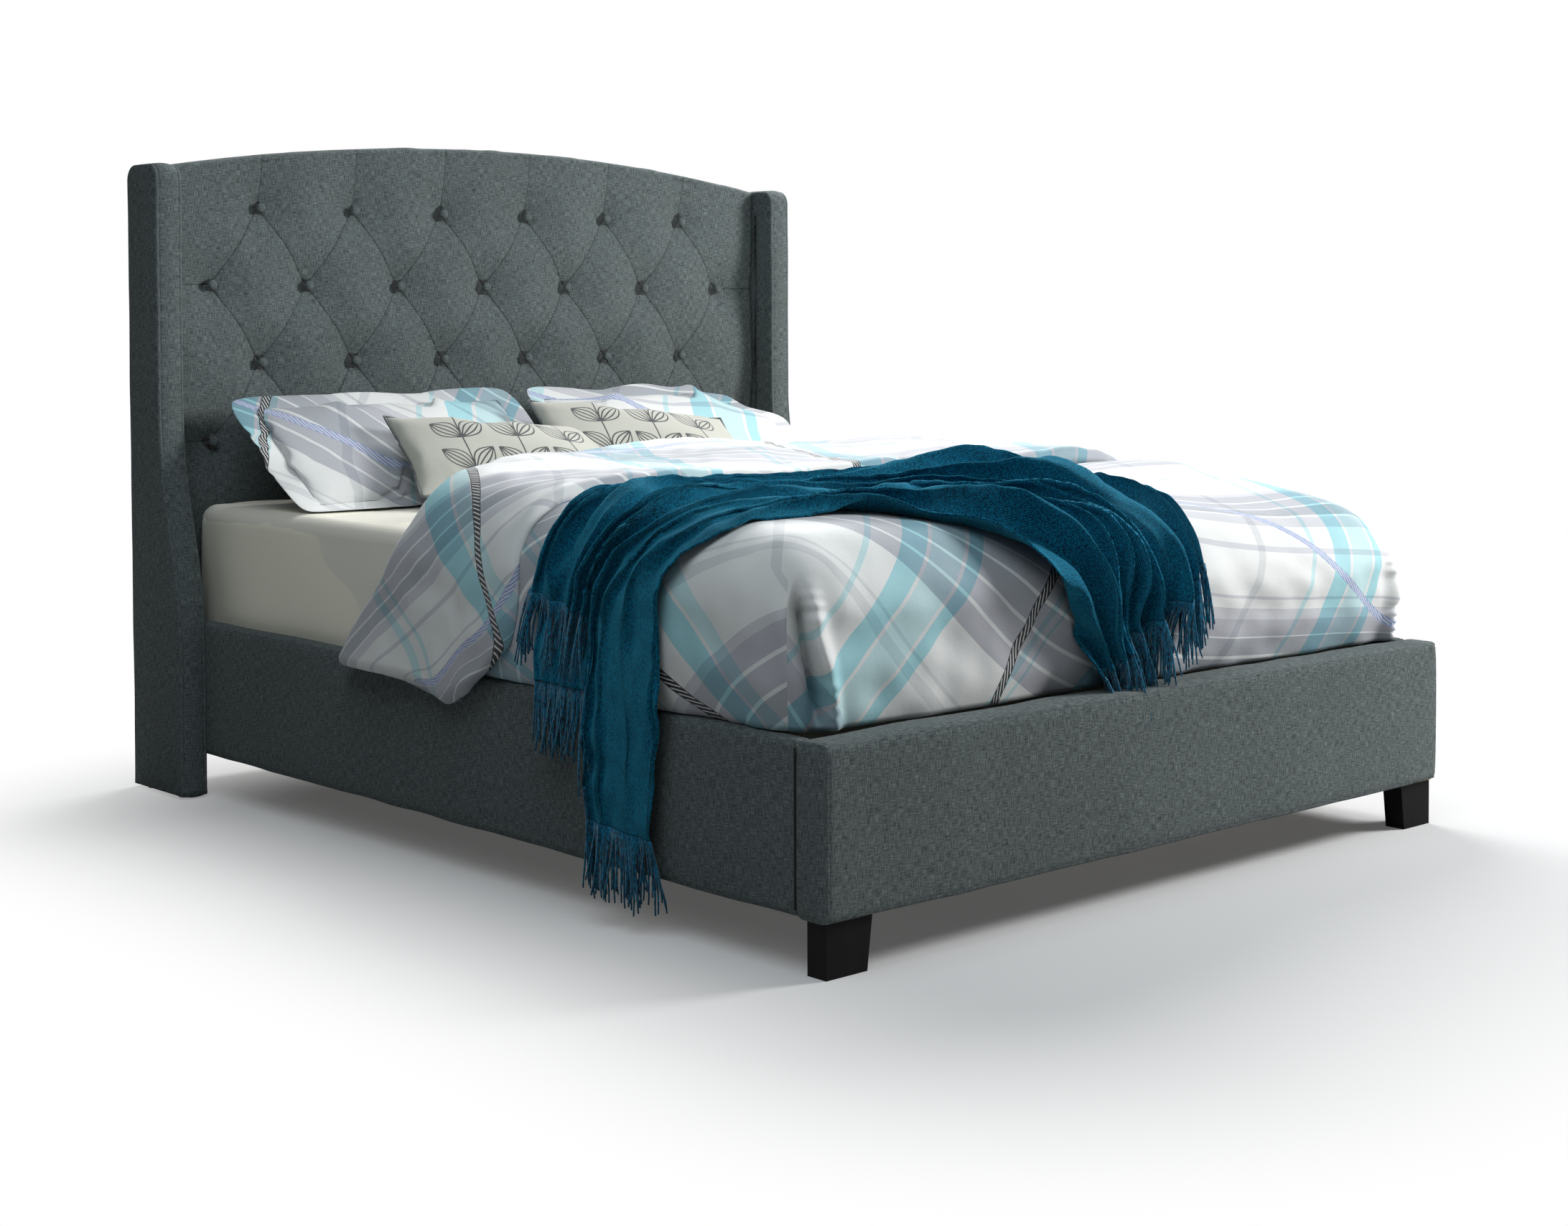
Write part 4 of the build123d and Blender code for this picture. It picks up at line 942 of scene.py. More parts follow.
# the pinched fold at each foot corner: depths, heights, and (place, width) pairs in degrees from its seam
pinch = {
    "seam": 52, "seamDrift": 14, "driftHeights": (0.60, 0.38), "starts": (0.64, 0.54),
    "gather": 0.004, "gatherRate": 190, "gatherWander": (5, 31), "gathersAt": (10, 8),
    "footRidge": 0.022, "footRidgeAt": (10, 7), "sideRidge": 0.012, "sideRidgeAt": (-12, 8),
    "groove": 0.058, "grooveAt": (0, 4), "grooveStarts": (0.37, 0.44),
    "pocket": 0.030, "pocketAt": (3, 6), "pocketHeight": 0.575, "pocketReach": 0.022,
}


# the duvet's plain form in cloth coordinates: flat on top, a quarter circle over each edge, then straight
# down; returns the points and the directions that they face
def duvetPoint(across, along):
    radius = duvet["radius"]
    flatHalf, flatFoot = duvet["halfWidth"] - radius, duvet["foot"] + radius
    over = np.maximum(np.abs(across) - flatHalf, 0)
    overFoot = np.maximum(flatFoot - along, 0)
    turn, turnFoot = np.minimum(over / radius, pi / 2), np.minimum(overFoot / radius, pi / 2)
    drop = np.maximum(over - radius * pi / 2, 0) + np.maximum(overFoot - radius * pi / 2, 0)
    normal = unit(np.stack([np.sign(across) * np.sin(turn), -np.sin(turnFoot),
                            np.minimum(np.cos(turn), np.cos(turnFoot))], -1))
    inner = np.stack([np.clip(across, -flatHalf, flatHalf), np.maximum(along, flatFoot),
                      duvet["top"] - radius - drop], -1)
    return inner + radius * normal, normal


# how far the duvet stands off its plain form: long swells, short wrinkles near its edges, a curl under at the
# hem and a pinched fold at each foot corner that deepens downwards
def duvetPuff(points, normals):
    z = points[..., 2]
    upward = np.clip(normals[..., 2], 0, 1)
    footward = np.clip(-normals[..., 1], 0, 1)
    swell = duvet["swell"] * ripples(points, 0.28, 0.7, 51)
    small = duvet["wrinkle"] * ripples(points, 0.05, 0.15, 52) * (1.2 - 0.9 * upward)
    low = np.clip(1 - (z - duvet["hem"]) / duvet["curlHeight"], 0, 1) * (1 - upward)
    curl = duvet["curlSide"] + (duvet["curlFoot"] - duvet["curlSide"]) * footward
    spin = np.degrees(np.arctan2(footward, np.abs(normals[..., 0]) + 1e-9))
    spin = spin - pinch["seam"] - pinch["seamDrift"] * ease(*pinch["driftHeights"], z)
    depth = ease(*pinch["starts"], z) * (1 - upward ** 2) * footward ** 0.3

    def bell(name):
        place, width = pinch[name]
        return np.exp(-((spin - place) / width) ** 2)

    wander, wanderRate = pinch["gatherWander"]
    phase = z * pinch["gatherRate"] + wander * np.sin(z * wanderRate)
    gathers = pinch["gather"] * np.sin(phase) * bell("gathersAt")
    ridges = pinch["footRidge"] * bell("footRidgeAt") + pinch["sideRidge"] * bell("sideRidgeAt")
    groove = pinch["groove"] * bell("grooveAt") * ease(*pinch["grooveStarts"], z)
    pocket = np.exp(-((z - pinch["pocketHeight"]) / pinch["pocketReach"]) ** 2)
    pocket = pinch["pocket"] * pocket * bell("pocketAt")
    return swell + small - curl * low ** 2 + depth * (gathers + ridges - groove - pocket)


# the filling thins towards the foot, more on the right: the top sinks with the distance past a line
def duvetSag(points):
    x, y, z = points[..., 0], points[..., 1], points[..., 2]
    share = np.clip((duvet["sagStart"] - y) / duvet["sagLength"], 0, duvet["sagLimit"]) ** duvet["sagPower"]
    depth = (duvet["sag"] + duvet["sagTilt"] * np.clip(x / duvet["sagHalf"], -1, 1)) * share
    level = np.clip((z - duvet["hem"]) / (duvet["top"] - duvet["hem"]), 0, duvet["sagAbove"])
    return np.stack([x, y, z - depth * level], -1)


# the duvet's real surface at cloth coordinates, raised by lift; restCurl gives back the curl at the hem
def duvetSkin(across, along, lift=0.0, restCurl=0.0):
    base, normal = duvetPoint(across, along)
    puff = duvetPuff(base, normal)
    low = np.clip(1 - (base[..., 2] - duvet["hem"]) / duvet["curlHeight"], 0, 1)
    upward = np.clip(normal[..., 2], 0, 1)
    puff = puff + restCurl * duvet["curlSide"] * low ** 2 * (1 - upward)
    return duvetSag(base + normal * (puff + lift)[..., None])


# along the cloth from the middle to each side: place across, place of the free edge, place of the head end
turnAcross = [0.0, 0.40, 0.55, 0.65, 0.72, 0.79, 0.85, 0.92, 1.03, 1.13]
turnFreeEdge = [-0.300, -0.300, -0.300, -0.300, -0.300, -0.305, -0.310, -0.315, -0.290, -0.150]
turnHeadEndLeft = [0.385, 0.285, 0.190, 0.115, 0.070, 0.040, 0.045, 0.095, 0.215, 0.300]
turnHeadEndRight = [0.385, 0.365, 0.325, 0.265, 0.185, 0.090, 0.080, 0.135, 0.225, 0.300]


# where the head end lies for each place across the cloth, further from the head on the left shoulder
def headEndAt(across):
    aside = np.abs(across)
    return np.where(across < 0, curveThrough(turnAcross, turnHeadEndLeft, aside),
                    curveThrough(turnAcross, turnHeadEndRight, aside))


# the duvet's main part: an outer skin with its puff and sag, a plain inner skin round the mattress, and a
# rim of quads along the open edges that joins them; towards the head it stops short of the head end
def makeDuvet():
    low = np.array([-duvet["halfWidth"], duvet["foot"], duvet["hem"]])
    high = np.array([duvet["halfWidth"], duvet["head"], duvet["top"]])
    points, normals, faces, cloth = roundedBox(low, high, duvet["radius"], duvet["step"], duvet["turns"],
                                               missing=[(2, -1), (1, 1)])
    flatHalf, roundTop = duvet["halfWidth"] - duvet["radius"], duvet["top"] - duvet["radius"]
    over, rise = np.maximum(np.abs(points[:, 0]) - flatHalf, 0), np.maximum(points[:, 2] - roundTop, 0)
    aside = np.minimum(np.abs(points[:, 0]), flatHalf) + duvet["radius"] * np.arctan2(over, rise + 1e-9)
    aside = aside + np.maximum(roundTop - points[:, 2], 0) * (over > 0)
    limit = headEndAt(np.sign(points[:, 0]) * aside) - duvet["headGap"]
    points[:, 1] = np.minimum(points[:, 1], limit)
    outer = duvetSag(points + normals * duvetPuff(points, normals)[:, None])
    innerLow = np.array([-duvet["innerHalf"], duvet["innerFoot"], duvet["hem"]])
    innerHigh = np.array([duvet["innerHalf"], high[1], sheetTop + duvet["aboveSheet"]])
    inner = innerLow + (points - low) / (high - low) * (innerHigh - innerLow)
    inner[:, 2] = np.minimum(inner[:, 2], np.maximum(outer[:, 2] - duvet["thinnest"], duvet["hem"]))
    count = len(points)
    directed = np.concatenate([faces[:, [k, (k + 1) % 4]] for k in range(4)])
    _, index, counts = np.unique(np.sort(directed, 1), axis=0, return_index=True, return_counts=True)
    rim = directed[index[counts == 1]]
    rimFaces = np.stack([rim[:, 1], rim[:, 0], rim[:, 0] + count, rim[:, 1] + count], -1)
    allFaces = np.concatenate([faces, faces[:, ::-1] + count, rimFaces])
    flatOf = np.zeros((count, 2))
    flatOf[faces.ravel()] = cloth
    cornersAll = np.concatenate([cloth, cloth.reshape(-1, 4, 2)[:, ::-1].reshape(-1, 2),
                                 flatOf[rimFaces.ravel() % count]])
    piece = addMesh("duvetSpread", np.concatenate([outer, inner]), allFaces, cornersAll)
    dress(piece, printFinish, "duvet", "printed_cotton", "duvet")


makeDuvet()

# Turned-back head end of the duvet
turnback = {
    "above": (0.048, 0.020), "below": (0.078, 0.018), "sideStarts": (0.55, 0.92), "edgeRound": 0.022,
    "edgeShare": 0.8, "nearBelow": 0.014, "backGap": 0.02, "hem": 0.350, "hemReach": 0.02, "hemShare": 0.02,
    "swell": 0.004, "wrinkle": 0.0018, "wrinkleHeights": (-0.01, 0.012), "flapDrop": 0.034,
    "flapPlace": -0.080, "flapWidth": 0.055, "flapStarts": (0.47, 0.36), "printShift": (0.31, -0.45),
}


# the turned-back part is a flat ring of duvet: from the free edge over the top to a round roll at the head
# end and back underneath; both ends of the section move along the bed as it goes down the sides
def makeTurnback():
    hemAcross = duvet["halfWidth"] - duvet["radius"] + duvet["radius"] * pi / 2
    hemAcross += duvet["top"] - duvet["radius"] - turnback["hem"]
    across = np.linspace(-hemAcross, hemAcross, 340)
    aside = np.abs(across)
    onSide = ease(*turnback["sideStarts"], aside)
    freeEdge = curveThrough(turnAcross, turnFreeEdge, aside)
    headEnd = headEndAt(across)
    above, below = [(top * (1 - onSide) + side * onSide)[:, None]
                    for top, side in (turnback["above"], turnback["below"])]
    toHem = np.sqrt(np.clip((hemAcross - aside) / turnback["hemReach"], turnback["hemShare"], 1))
    radius, centre = (above + below) / 2, (above - below) / 2
    start, runEnd = freeEdge[:, None], headEnd[:, None] - radius
    rounding, edgeShare = turnback["edgeRound"], turnback["edgeShare"]
    turnA = np.linspace(0, pi / 2, 6)[None, :]
    edgeY = start + rounding * (1 - np.cos(turnA))
    edgeH = above * edgeShare * np.sin(turnA)
    share = np.linspace(0, 1, 60)[None, 1:]
    runY = start + rounding + (runEnd - start - rounding) * share
    runH = above * (edgeShare + (1 - edgeShare) * np.sin(share * pi / 2))
    turnB = np.linspace(0, pi, 22)[None, 1:]
    rollY = runEnd + radius * np.sin(turnB)
    rollH = centre + radius * np.cos(turnB)
    backShare = np.linspace(0, 1, 12)[None, 1:-1]
    backY = runEnd + (start + turnback["backGap"] - runEnd) * backShare
    nearBelow = np.minimum(below, turnback["nearBelow"])
    backH = -nearBelow - (below - nearBelow) * (1 - ease(0.0, 0.4, backShare))
    along = np.concatenate([edgeY, runY, rollY, backY], 1)
    height = np.concatenate([edgeH, runH, rollH, backH], 1) * toHem[:, None]
    flatAcross = np.broadcast_to(across[:, None], along.shape)
    base, _ = duvetPoint(flatAcross, along)
    visible = ease(*turnback["wrinkleHeights"], height)
    extra = turnback["swell"] * ripples(base, 0.16, 0.4, 61)
    folds = turnback["wrinkle"] * ripples(base, 0.045, 0.13, 62, stretch=(1, 1, 0.35))
    points = duvetSkin(flatAcross, along, height + visible * (extra + folds), 1.0)
    nearFlap = np.exp(-((along - turnback["flapPlace"]) / turnback["flapWidth"]) ** 2)
    points[..., 2] -= turnback["flapDrop"] * nearFlap * ease(*turnback["flapStarts"], points[..., 2])
    rows, cols = along.shape
    step = np.linalg.norm(np.diff(points[rows // 2], axis=0), axis=1)
    run = np.concatenate([[0], np.cumsum(step)])
    cloth = np.stack([flatAcross, np.broadcast_to(run, along.shape)], -1) + turnback["printShift"]
    faces = gridFaces(rows, cols, closeCols=True)
    caps = [np.arange(cols)[::-1], (rows - 1) * cols + np.arange(cols)]
    piece = addMesh("duvetTurnback", points, faces, cloth, caps=caps)
    dress(piece, printFinish, "duvet", "printed_cotton", "duvet")


makeTurnback()
print("stage: duvet")

# Throw
throw = {
    "rows": 330, "cols": 200, "folds": 9, "lift": 0.004, "height": 0.032, "skew": 0.18, "thickness": 0.0035,
    "flatten": 0.62, "hangStarts": (0.80, 1.02), "hangOut": 0.009, "crowd": 1.20, "crowdStarts": (0.62, 0.88),
    "foldPower": 1.25, "lean": 0.9, "foldSize": (2.0, 1.3), "wander": 0.70, "smallWander": 0.08,
    "usualDepth": 0.72, "uneven": 0.42, "depthLimits": (0.18, 1.4),
    "wrinkle": 0.0015, "knitSize": (2.1, 1.2),
}
yarnForm = {
    "left": 170, "right": 200, "radius": 0.0024, "length": 0.112, "lengths": (0.85, 1.08), "sway": 0.008,
    "fall": 0.55, "wave": 0.0026, "waves": 13,
}
# the edge nearer the foot and the edge nearer the head, in cloth coordinates of the duvet (across, along)
throwFootEdge = [(-1.325, -0.715), (-1.215, -0.725), (-1.10, -0.740), (-0.98, -0.748), (-0.87, -0.758),
                 (-0.76, -0.825), (-0.62, -0.875), (-0.47, -0.905), (-0.36, -0.965), (-0.27, -1.080),
                 (-0.20, -1.180), (-0.15, -1.285)]
throwHeadEdge = [(-1.325, -0.365), (-1.20, -0.365), (-1.08, -0.360), (-0.95, -0.360), (-0.86, -0.395),
                 (-0.72, -0.400), (-0.50, -0.350), (-0.22, -0.325), (0.03, -0.350), (0.20, -0.520),
                 (0.225, -0.800), (0.150, -1.070)]
# how far down the left end hangs across its width, from the foot edge to the head edge
throwEndWidth = [0.0, 0.46, 0.50, 1.0]
throwEndAcross = [-1.315, -1.300, -0.965, -0.950]


# the throw lies on the duvet's real surface: its two edges are curves, the places between them are mixed
# by width, and leaning sine folds of uneven depth wander along it, flatter where it hangs on the left
def throwPoint(length, width):
    steps = np.linspace(0, 1, len(throwFootEdge))
    foot = [curveThrough(steps, [p[k] for p in throwFootEdge], length) for k in range(2)]
    head = [curveThrough(steps, [p[k] for p in throwHeadEdge], length) for k in range(2)]
    folds, (sizeLong, sizeWide) = throw["folds"], throw["foldSize"]
    place = np.stack(np.broadcast_arrays(length * sizeLong, width * sizeWide, 0 * length), -1)
    wander = throw["wander"] * ripples(place, 0.45, 1.2, 72)
    wander = wander + throw["smallWander"] * ripples(place, 0.12, 0.3, 73)
    phase = 2 * pi * (folds * width + wander)
    leaning = width + throw["skew"] / folds * np.sin(phase + throw["lean"])
    across = foot[0] + (head[0] - foot[0]) * leaning
    along = foot[1] + (head[1] - foot[1]) * leaning
    base, _ = duvetPoint(across, along)
    unevenness = throw["usualDepth"] + throw["uneven"] * ripples(place, 0.20, 0.6, 74)
    unevenness = np.clip(unevenness, *throw["depthLimits"])
    hanging = ease(*throw["hangStarts"], -across)
    depth = throw["height"] * unevenness * (1 - throw["flatten"] * hanging)
    depth = depth * (1 + throw["crowd"] * ease(*throw["crowdStarts"], length))
    wave = np.abs(np.sin(phase / 2)) ** throw["foldPower"]
    lift = throw["lift"] + throw["hangOut"] * hanging + depth * wave
    return duvetSkin(across, along, lift + throw["wrinkle"] * ripples(base, 0.03, 0.08, 71), 1.0)


# rows run from the stepped left end to the right end, each from the foot edge to the head edge
def makeThrow():
    length = np.linspace(0, 1, throw["rows"])[:, None]
    width = np.linspace(0, 1, throw["cols"])[None, :]
    endAcross = np.interp(width, throwEndWidth, throwEndAcross)
    steps = np.linspace(0, 1, len(throwFootEdge))
    skip = np.interp(endAcross, [p[0] for p in throwFootEdge], steps)
    lengths = skip + (1 - skip) * length
    widths = np.broadcast_to(width, lengths.shape)
    points = throwPoint(lengths, widths)
    cloth = np.stack([lengths, widths], -1) * throw["knitSize"]
    piece = addMesh("throwKnit", points, gridFaces(*lengths.shape), cloth)
    addWall(piece, throw["thickness"], 1)
    dress(piece, knitFinish, "throw", "teal_knit", "throw")
    leftFringe = makeFringe("throwFringeLeft", points[0], points[1], yarnForm["left"], 81)
    rightFringe = makeFringe("throwFringeRight", points[-1], points[-2], yarnForm["right"], 82)


# the layer that hangs out from under the short part of the left end
under = {
    "across": (-0.87, -1.080), "along": (-0.550, -0.385), "rows": 40, "cols": 36, "yarns": 46,
    "outward": 0.012, "outwardStarts": (0.955, 1.06), "tuck": 0.001, "fold": 0.004, "foldRates": (95, 6),
    "slack": 1.06,
}


def makeThrowUnder():
    across = np.linspace(*under["across"], under["rows"])[:, None]
    along = np.linspace(*under["along"], under["cols"])[None, :]
    alongRate, acrossRate = under["foldRates"]
    fold = under["fold"] * np.sin(along * alongRate + across * acrossRate) ** 2
    lift = under["outward"] * ease(*under["outwardStarts"], -across) - under["tuck"]
    points = duvetSkin(*np.broadcast_arrays(across, along), lift + fold, 1.0)
    cloth = np.stack(np.broadcast_arrays(-across, along), -1)
    piece = addMesh("throwUnderLayer", points, gridFaces(under["rows"], under["cols"]), cloth)
    addWall(piece, throw["thickness"], 1)
    dress(piece, knitFinish, "throw", "teal_knit")
    fringe = makeFringe("throwFringeUnder", points[-1], points[-2], under["yarns"], 83)


# yarns hang from the end of the cloth: each starts along the cloth's own direction and turns straight down
def makeFringe(name, ends, before, count, seed):
    random = np.random.default_rng(seed)
    where = (np.arange(count) + 0.5 + random.uniform(-0.25, 0.25, count)) / count * (len(ends) - 1)
    index = np.arange(len(ends))
    start = np.stack([np.interp(where, index, ends[:, k]) for k in range(3)], -1)
    earlier = np.stack([np.interp(where, index, before[:, k]) for k in range(3)], -1)
    ahead = unit(start - earlier)
    sway = random.normal(scale=yarnForm["sway"], size=(count, 3)) * [1, 1, 0.6]
    length = yarnForm["length"] * random.uniform(*yarnForm["lengths"], count)
    t = np.linspace(0, 1, 9)[None, :, None]
    wave = yarnForm["wave"] * np.sin(t * yarnForm["waves"] + random.uniform(0, 6, (count, 1, 1))) * t
    fall = np.array([0, 0, -yarnForm["fall"]]) * t * t
    paths = start[:, None] + length[:, None, None] * (ahead[:, None] * (t - 0.5 * t * t) + fall)
    paths = paths + sway[:, None] * t ** 1.5 + wave
    points, faces, caps = tubes(paths, yarnForm["radius"])
    piece = addMesh(name, points, faces, caps=caps)
    dress(piece, yarnFinish, "throw", "teal_knit")
    return piece


makeThrow()
makeThrowUnder()
print("stage: throw")

# Shams and cushions
pillow = {
    "slope": radians(34.5), "step": 0.014, "frames": 26, "apart": 0.012, "spareWidth": 1.05,
    "spareHeight": 1.07, "formulaHalf": 0.07, "aboveSheet": 0.004,
}


# a flat pillow case before it is filled: two sheets that share their border, a little apart in the middle
def flatPillow(width, height, step):
    cols, rows = round(width / step) + 1, round(height / step) + 1
    u, v = np.meshgrid(np.linspace(-1, 1, cols), np.linspace(-1, 1, rows))
    bulge = ((1 - u ** 2) * (1 - v ** 2)) ** 0.5
    front = np.stack([u * width / 2, v * height / 2, pillow["apart"] * bulge], -1).reshape(-1, 3)
    border = ((np.abs(u) > 1 - 1e-9) | (np.abs(v) > 1 - 1e-9)).ravel()
    backIndex = np.where(border, np.arange(rows * cols), 0)
    backIndex[~border] = rows * cols + np.arange((~border).sum())
    back = front[~border] * [1, 1, -1]
    quads = gridFaces(rows, cols)
    faces = np.concatenate([quads, backIndex[quads][:, ::-1]])
    flat = np.stack([u * width / 2, v * height / 2], -1).reshape(-1, 2)
    cloth = np.concatenate([flat, flat[~border]])
    loop = np.concatenate([np.arange(cols), (np.arange(1, rows) + 1) * cols - 1,
                           rows * cols - 1 - np.arange(1, cols), (rows - 1 - np.arange(1, rows - 1)) * cols])
    return np.concatenate([front, back]), faces, cloth, loop


caseCloth = {"quality": 6, "mass": 0.3, "tension_stiffness": 22, "compression_stiffness": 22,
             "shear_stiffness": 8, "bending_stiffness": 0.25, "use_pressure": True}


# fills the case by cloth pressure and returns the settled points
def inflate(points, faces, pressure):
    case = addMesh("fillingCase", points, faces)
    cloth = case.modifiers.new("Cloth", "CLOTH")
    for setting, value in caseCloth.items():
        setattr(cloth.settings, setting, value)
    cloth.settings.uniform_pressure_force = pressure
    cloth.settings.effector_weights.gravity = 0
    cloth.collision_settings.use_collision = False
    cloth.point_cache.frame_end = pillow["frames"]
    scene = bpy.context.scene
    for step in range(1, pillow["frames"] + 1):
        scene.frame_set(step)
    settled = case.evaluated_get(bpy.context.evaluated_depsgraph_get())
    result = np.empty(len(points) * 3, np.float32)
    settled.data.vertices.foreach_get("co", result)
    scene.frame_set(1)
    bpy.data.objects.remove(case)
    return result.reshape(-1, 3).astype(float)


# draws the sides of a filled case straight: each point goes out by a share of what the border beside it
# went in
def straighten(shaped, cloth, share):
    placeAcross, placeUp = (cloth / cloth.max(0)).T
    for axis, along, aside in ((0, placeUp, placeAcross), (1, placeAcross, placeUp)):
        edge = np.abs(aside) > 0.999
        order = np.argsort(along[edge], kind="stable")
        reach = np.abs(shaped[edge, axis])[order]
        shaped[:, axis] *= 1 + share * (reach.max() / np.interp(along, along[edge][order], reach) - 1)


# a filled case of the form's size, cut a little larger and then brought to that size on each axis
def filledPillow(form):
    width, height = form["width"], form["height"]
    points, faces, cloth, loop = flatPillow(width * pillow["spareWidth"], height * pillow["spareHeight"],
                                            pillow["step"])
    shaped = inflate(points, faces, form["pressure"])
    span = np.ptp(shaped, axis=0)
    shaped[:, :2] *= np.array([width, height]) / span[:2]
    straighten(shaped, cloth, form["straight"])
    thick = shaped[:, 2]
    shaped[:, 2] = np.where(thick > 0, thick * form["front"] / thick.max(),
                            thick * form["back"] / -thick.min())
    return shaped, faces, cloth, loop


# from a pillow's own plane to the bed: leaning back by the slope, its lower edge on the sheet
def leanBack(points, middleX, lowY, lowZ, slope, spin=0.0):
    x = points[:, 0] * np.cos(spin) - points[:, 1] * np.sin(spin)
    up = points[:, 0] * np.sin(spin) + points[:, 1] * np.cos(spin)
    out = points[:, 2]
    y = lowY + up * np.cos(slope) - out * np.sin(slope)
    z = lowZ + up * np.sin(slope) + out * np.cos(slope)
    return np.stack([middleX + x, y, z], -1)


shamForm = {
    "width": 0.618, "height": 0.340, "flange": 0.048, "front": 0.040, "back": 0.085, "lowY": 0.606,
    "sink": 0.010, "foldAcross": 0.10, "foldDown": 0.045, "wave": 0.006, "clothHalf": 0.0012,
    "edgeHalf": 0.0004, "sag": 0.15, "sagHeight": -0.24, "slump": 0.02, "wallGap": 0.001,
    "pressure": 3.5, "straight": 0.85, "foldStarts": (0.40, 0.2), "smoothing": 6,
}
# what differs between the two shams: how far to the left each lies, and where its print is cut
shamSides = {-1: {"aside": 0.014, "print": (0.0, 0.30)}, 1: {"aside": 0.0, "print": (0.9, -0.2)}}


# the flange runs on from the pillow's border: outward in the pillow's plane, with slow waves
def addFlange(points, faces, cloth, loop, width, seed):
    rim = points[loop]
    ahead = unit(np.roll(rim, -1, 0) - np.roll(rim, 1, 0))
    outward = unit(np.cross(ahead, [0, 0, 1.0]))
    for _ in range(shamForm["smoothing"]):
        outward = unit(outward + np.roll(outward, 1, 0) + np.roll(outward, -1, 0))
    shares = np.array([0.04, 0.10, 0.4, 0.75, 1.0])
    wave = shamForm["wave"] * ripples(rim, 0.10, 0.3, seed)
    rings = []
    for side in (1, -1):
        for share in shares:
            ring = rim + outward * width * share
            ring[:, 2] += wave * share + side * shamForm["clothHalf" if share < 1 else "edgeHalf"]
            rings.append(ring)
    count, size = len(points), len(loop)
    ringIndex = count + np.arange(len(rings) * size).reshape(len(rings), size)
    top = np.concatenate([loop[None], ringIndex[:len(shares)]])
    bottom = np.concatenate([loop[None], ringIndex[len(shares):]])
    flatRim = cloth[loop]
    flatOut = [flatRim + outward[:, :2] * width * share for share in shares] * 2

    def band(order):
        a, b = order[:-1], order[1:]
        return np.stack([a, np.roll(a, -1, 1), np.roll(b, -1, 1), b], -1).reshape(-1, 4)[:, ::-1]

    edge = np.stack([top[-1], bottom[-1]])
    allFaces = np.concatenate([faces, band(top), band(bottom)[:, ::-1], band(edge)])
    return np.concatenate([points, *rings]), allFaces, np.concatenate([cloth, *flatOut])


# a sham leans back with its lower edge on the sheet; the right one's outer top corner is folded over
def makeSham(side, seed):
    form, slope = shamForm, pillow["slope"]
    points, faces, cloth, loop = filledPillow(form)
    points, faces, cloth = addFlange(points, faces, cloth, loop, form["flange"], seed)
    if side > 0:
        foldX, foldY = form["foldStarts"]
        folded = ease(foldX, 1.0, points[:, 0] / form["width"] * 2)
        folded = folded * ease(foldY, 1.0, points[:, 1] / form["height"] * 2)
        points[:, 0] -= form["foldAcross"] * folded
        points[:, 1] -= form["foldDown"] * folded
    points[:, 2] *= 1 - form["sag"] * ease(0.0, form["sagHeight"], points[:, 1])
    middleX = side * (shamLow[0] + shamHigh[0]) / 2 - shamSides[side]["aside"]
    reach = form["height"] / 2 + form["flange"]
    placed = leanBack(points, middleX, form["lowY"] + reach * np.cos(slope),
                      sheetTop - form["sink"] + reach * np.sin(slope), slope)
    slump = form["slump"] * np.maximum(sheetTop - placed[:, 2], 0)
    placed[:, 2] = np.maximum(placed[:, 2], sheetTop + pillow["aboveSheet"] + slump)
    placed[:, 1] = np.minimum(placed[:, 1], shamHigh[1] - form["wallGap"])
    word = sideWords[side]
    piece = addMesh("sham" + word.title(), placed, faces, cloth + shamSides[side]["print"])
    refine(piece)
    node = "sham_" + word
    dress(piece, printFinish, node, "printed_cotton", node)


# left and right: the middle of each cushion (x, y, z) and its turn in its own plane
cushionForm = {
    "width": 0.520, "height": 0.290, "front": 0.062, "back": 0.030, "pressure": 4.0, "straight": 0.35,
    "piping": 0.0028, "left": (-0.238, 0.612, 0.706, -0.13), "right": (0.160, 0.655, 0.722, -0.18),
}


def makeCushion(side):
    form, word = cushionForm, sideWords[side]
    node, name = "cushion_" + word, "cushion" + word.title()
    points, faces, cloth, loop = filledPillow(form)
    middleX, middleY, middleZ, spin = form[word]
    placed = leanBack(points, middleX, middleY, middleZ, pillow["slope"], spin)
    placed[:, 2] = np.maximum(placed[:, 2], sheetTop + pillow["aboveSheet"])
    piece = addMesh(name, placed, faces, cloth)
    refine(piece)
    dress(piece, cushionFinish, node, "cushion_linen", node)
    path = placed[loop]
    closed = np.concatenate([path, path[:1]])[None]
    pipePoints, pipeFaces, pipeCaps = tubes(closed, form["piping"], sides=6, taper=1.0)
    piping = addMesh(name + "Piping", pipePoints, pipeFaces, caps=pipeCaps)
    dress(piping, pipingFinish, node, "cushion_linen")


shamLow, shamHigh = corners("sham_right")
for side, seed in ((-1, 91), (1, 92)):
    makeSham(side, seed)
    makeCushion(side)
print("stage: shams and cushions")

# Camera, floor and light
view = {"lens": 54.77, "sensor": 36.0, "place": (-3.196, -3.894, 1.041), "turn": (88.0, 0.0, -45.35),
        "shift": (-0.1506, -0.1406), "clipEnd": 60}


def makeCamera():
    data = bpy.data.cameras.new("camera")
    data.lens, data.sensor_width = view["lens"], view["sensor"]
    data.shift_x, data.shift_y = view["shift"]
    data.clip_end = view["clipEnd"]
    camera = bpy.data.objects.new("camera", data)
    camera.location = view["place"]
    camera.rotation_euler = [radians(angle) for angle in view["turn"]]
    bpy.context.scene.collection.objects.link(camera)
    bpy.context.scene.camera = camera


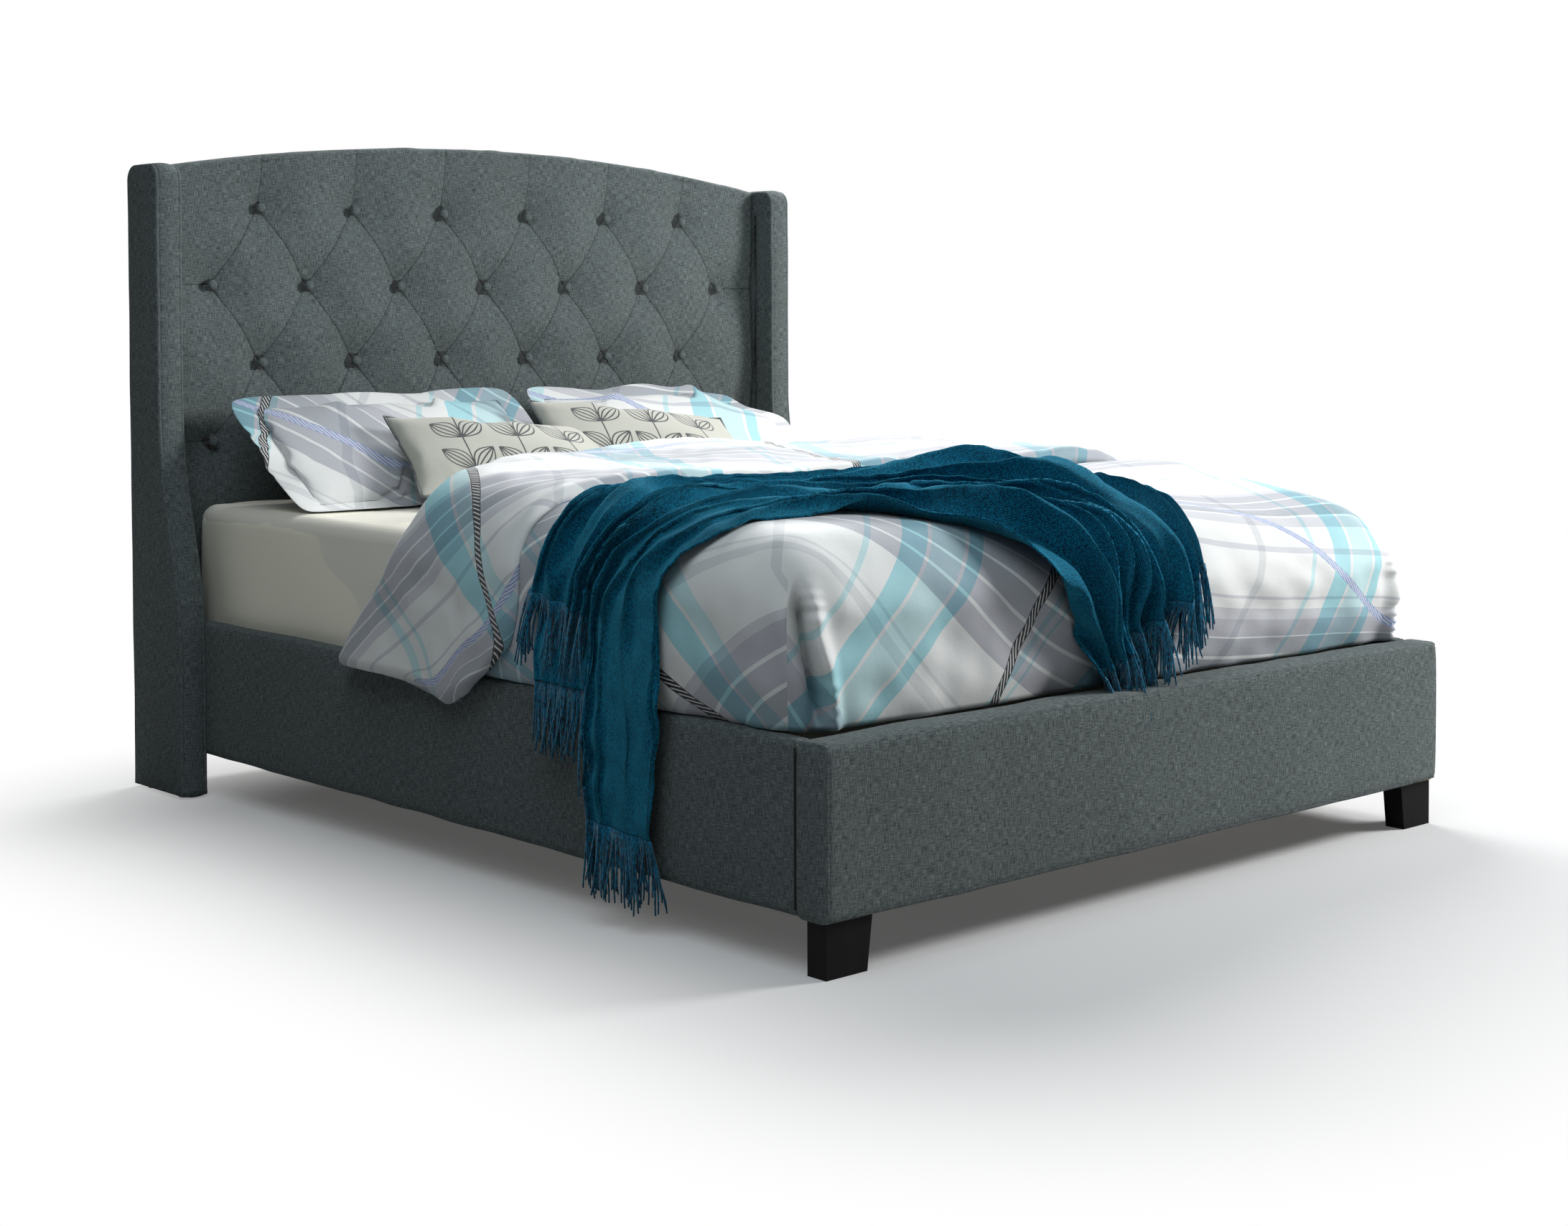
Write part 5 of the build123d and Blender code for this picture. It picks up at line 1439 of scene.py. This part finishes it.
# is this ray one that shows the white surroundings: from the camera, or reflected or passed by a surface
def seenRay(nodes, links):
    path = nodes.new("ShaderNodeLightPath")
    seen = path.outputs["Is Camera Ray"]
    for other in ("Is Glossy Ray", "Is Transmission Ray"):
        either = nodes.new("ShaderNodeMath")
        either.operation = "MAXIMUM"
        links.new(seen, either.inputs[0])
        links.new(path.outputs[other], either.inputs[1])
        seen = either.outputs[0]
    return seen


ground = {"half": 30.0, "albedo": 0.50, "lift": 0.08, "bedMiddle": (0.20, -0.35),
          "bedHalf": (0.80, 1.05), "fade": (0.05, 0.95)}


# the floor takes the bed's shadow near it and is plain white for the camera further out, mixed by the
# distance from the bed's rectangle
def makeFloor():
    half = ground["half"]
    points = np.array([(-half, -half, 0), (half, -half, 0), (half, half, 0), (-half, half, 0)])
    floor = addMesh("floor", points, np.array([[0, 1, 2, 3]]))
    finish = Finish("paleFloor", Roughness=0.95, Base_Color=grey(ground["albedo"]), Specular_IOR_Level=0.0,
                    Emission_Color=grey(1.0))
    seen = Value(finish, seenRay(finish.nodes, finish.links))
    finish.feed("Emission Strength", seen * ground["lift"])
    x, y, _ = finish.split(finish.place())
    beyondX, beyondY = [(abs(part - middle) - reach).most(0.0)
                        for part, middle, reach in zip((x, y), ground["bedMiddle"], ground["bedHalf"])]
    away = (beyondX * beyondX + beyondY * beyondY).maths("SQRT")
    nearest, furthest = ground["fade"]
    far = finish.value("MapRange", {"Value": away, "From Min": nearest, "From Max": furthest},
                       interpolation_type="SMOOTHSTEP")
    white = finish.value("Emission", {"Color": grey(1.0), "Strength": 1.0})
    shown = finish.value("MixShader", {0: far * seen, 1: Value(finish, finish.shader.outputs[0]), 2: white})
    finish.links.new(shown.socket, finish.nodes["Material Output"].inputs["Surface"])
    floor.data.materials.append(finish.material)


lamps = {
    "key": {"place": (3.3, -2.7, 2.5), "aim": (0, 0.1, 0.6), "size": 1.4, "power": 246, "colour": (1, 1, 1)},
    "top": {"place": (1.7, 1.9, 3.4), "aim": (0, 0, 0.3), "size": 2.4, "power": 184, "colour": (1, 1, 1)},
    "fill": {"place": (-1.9, -1.4, 3.5), "aim": (0, 0, 0.3), "size": 2.8, "power": 58,
             "colour": (0.84, 0.94, 1.0)},
}


def makeLamps():
    for name, lamp in lamps.items():
        data = bpy.data.lights.new(name, "AREA")
        data.shape = "DISK"
        data.size = lamp["size"]
        data.energy = lamp["power"]
        data.color = lamp["colour"]
        light = bpy.data.objects.new(name, data)
        light.location = lamp["place"]
        away = np.array(lamp["place"]) - np.array(lamp["aim"])
        level = np.hypot(away[0], away[1])
        light.rotation_euler = (np.arctan2(level, away[2]), 0, np.arctan2(away[0], -away[1]))
        bpy.context.scene.collection.objects.link(light)


surroundings = {"light": 0.05, "seen": 1.0}


def makeWorld():
    world = bpy.data.worlds.new("studio")
    world.use_nodes = True
    nodes, links = world.node_tree.nodes, world.node_tree.links
    # the value 1 where the world is seen gives its white, and 0 its little light
    strength = nodes.new("ShaderNodeMapRange")
    strength.inputs["To Min"].default_value = surroundings["light"]
    strength.inputs["To Max"].default_value = surroundings["seen"]
    links.new(seenRay(nodes, links), strength.inputs["Value"])
    background = nodes["Background"]
    background.inputs["Color"].default_value = (1, 1, 1, 1)
    links.new(strength.outputs[0], background.inputs["Strength"])
    bpy.context.scene.world = world
    bpy.context.scene.view_settings.view_transform = "Standard"


makeCamera()
makeFloor()
makeLamps()
makeWorld()
print("stage: camera, floor and light")
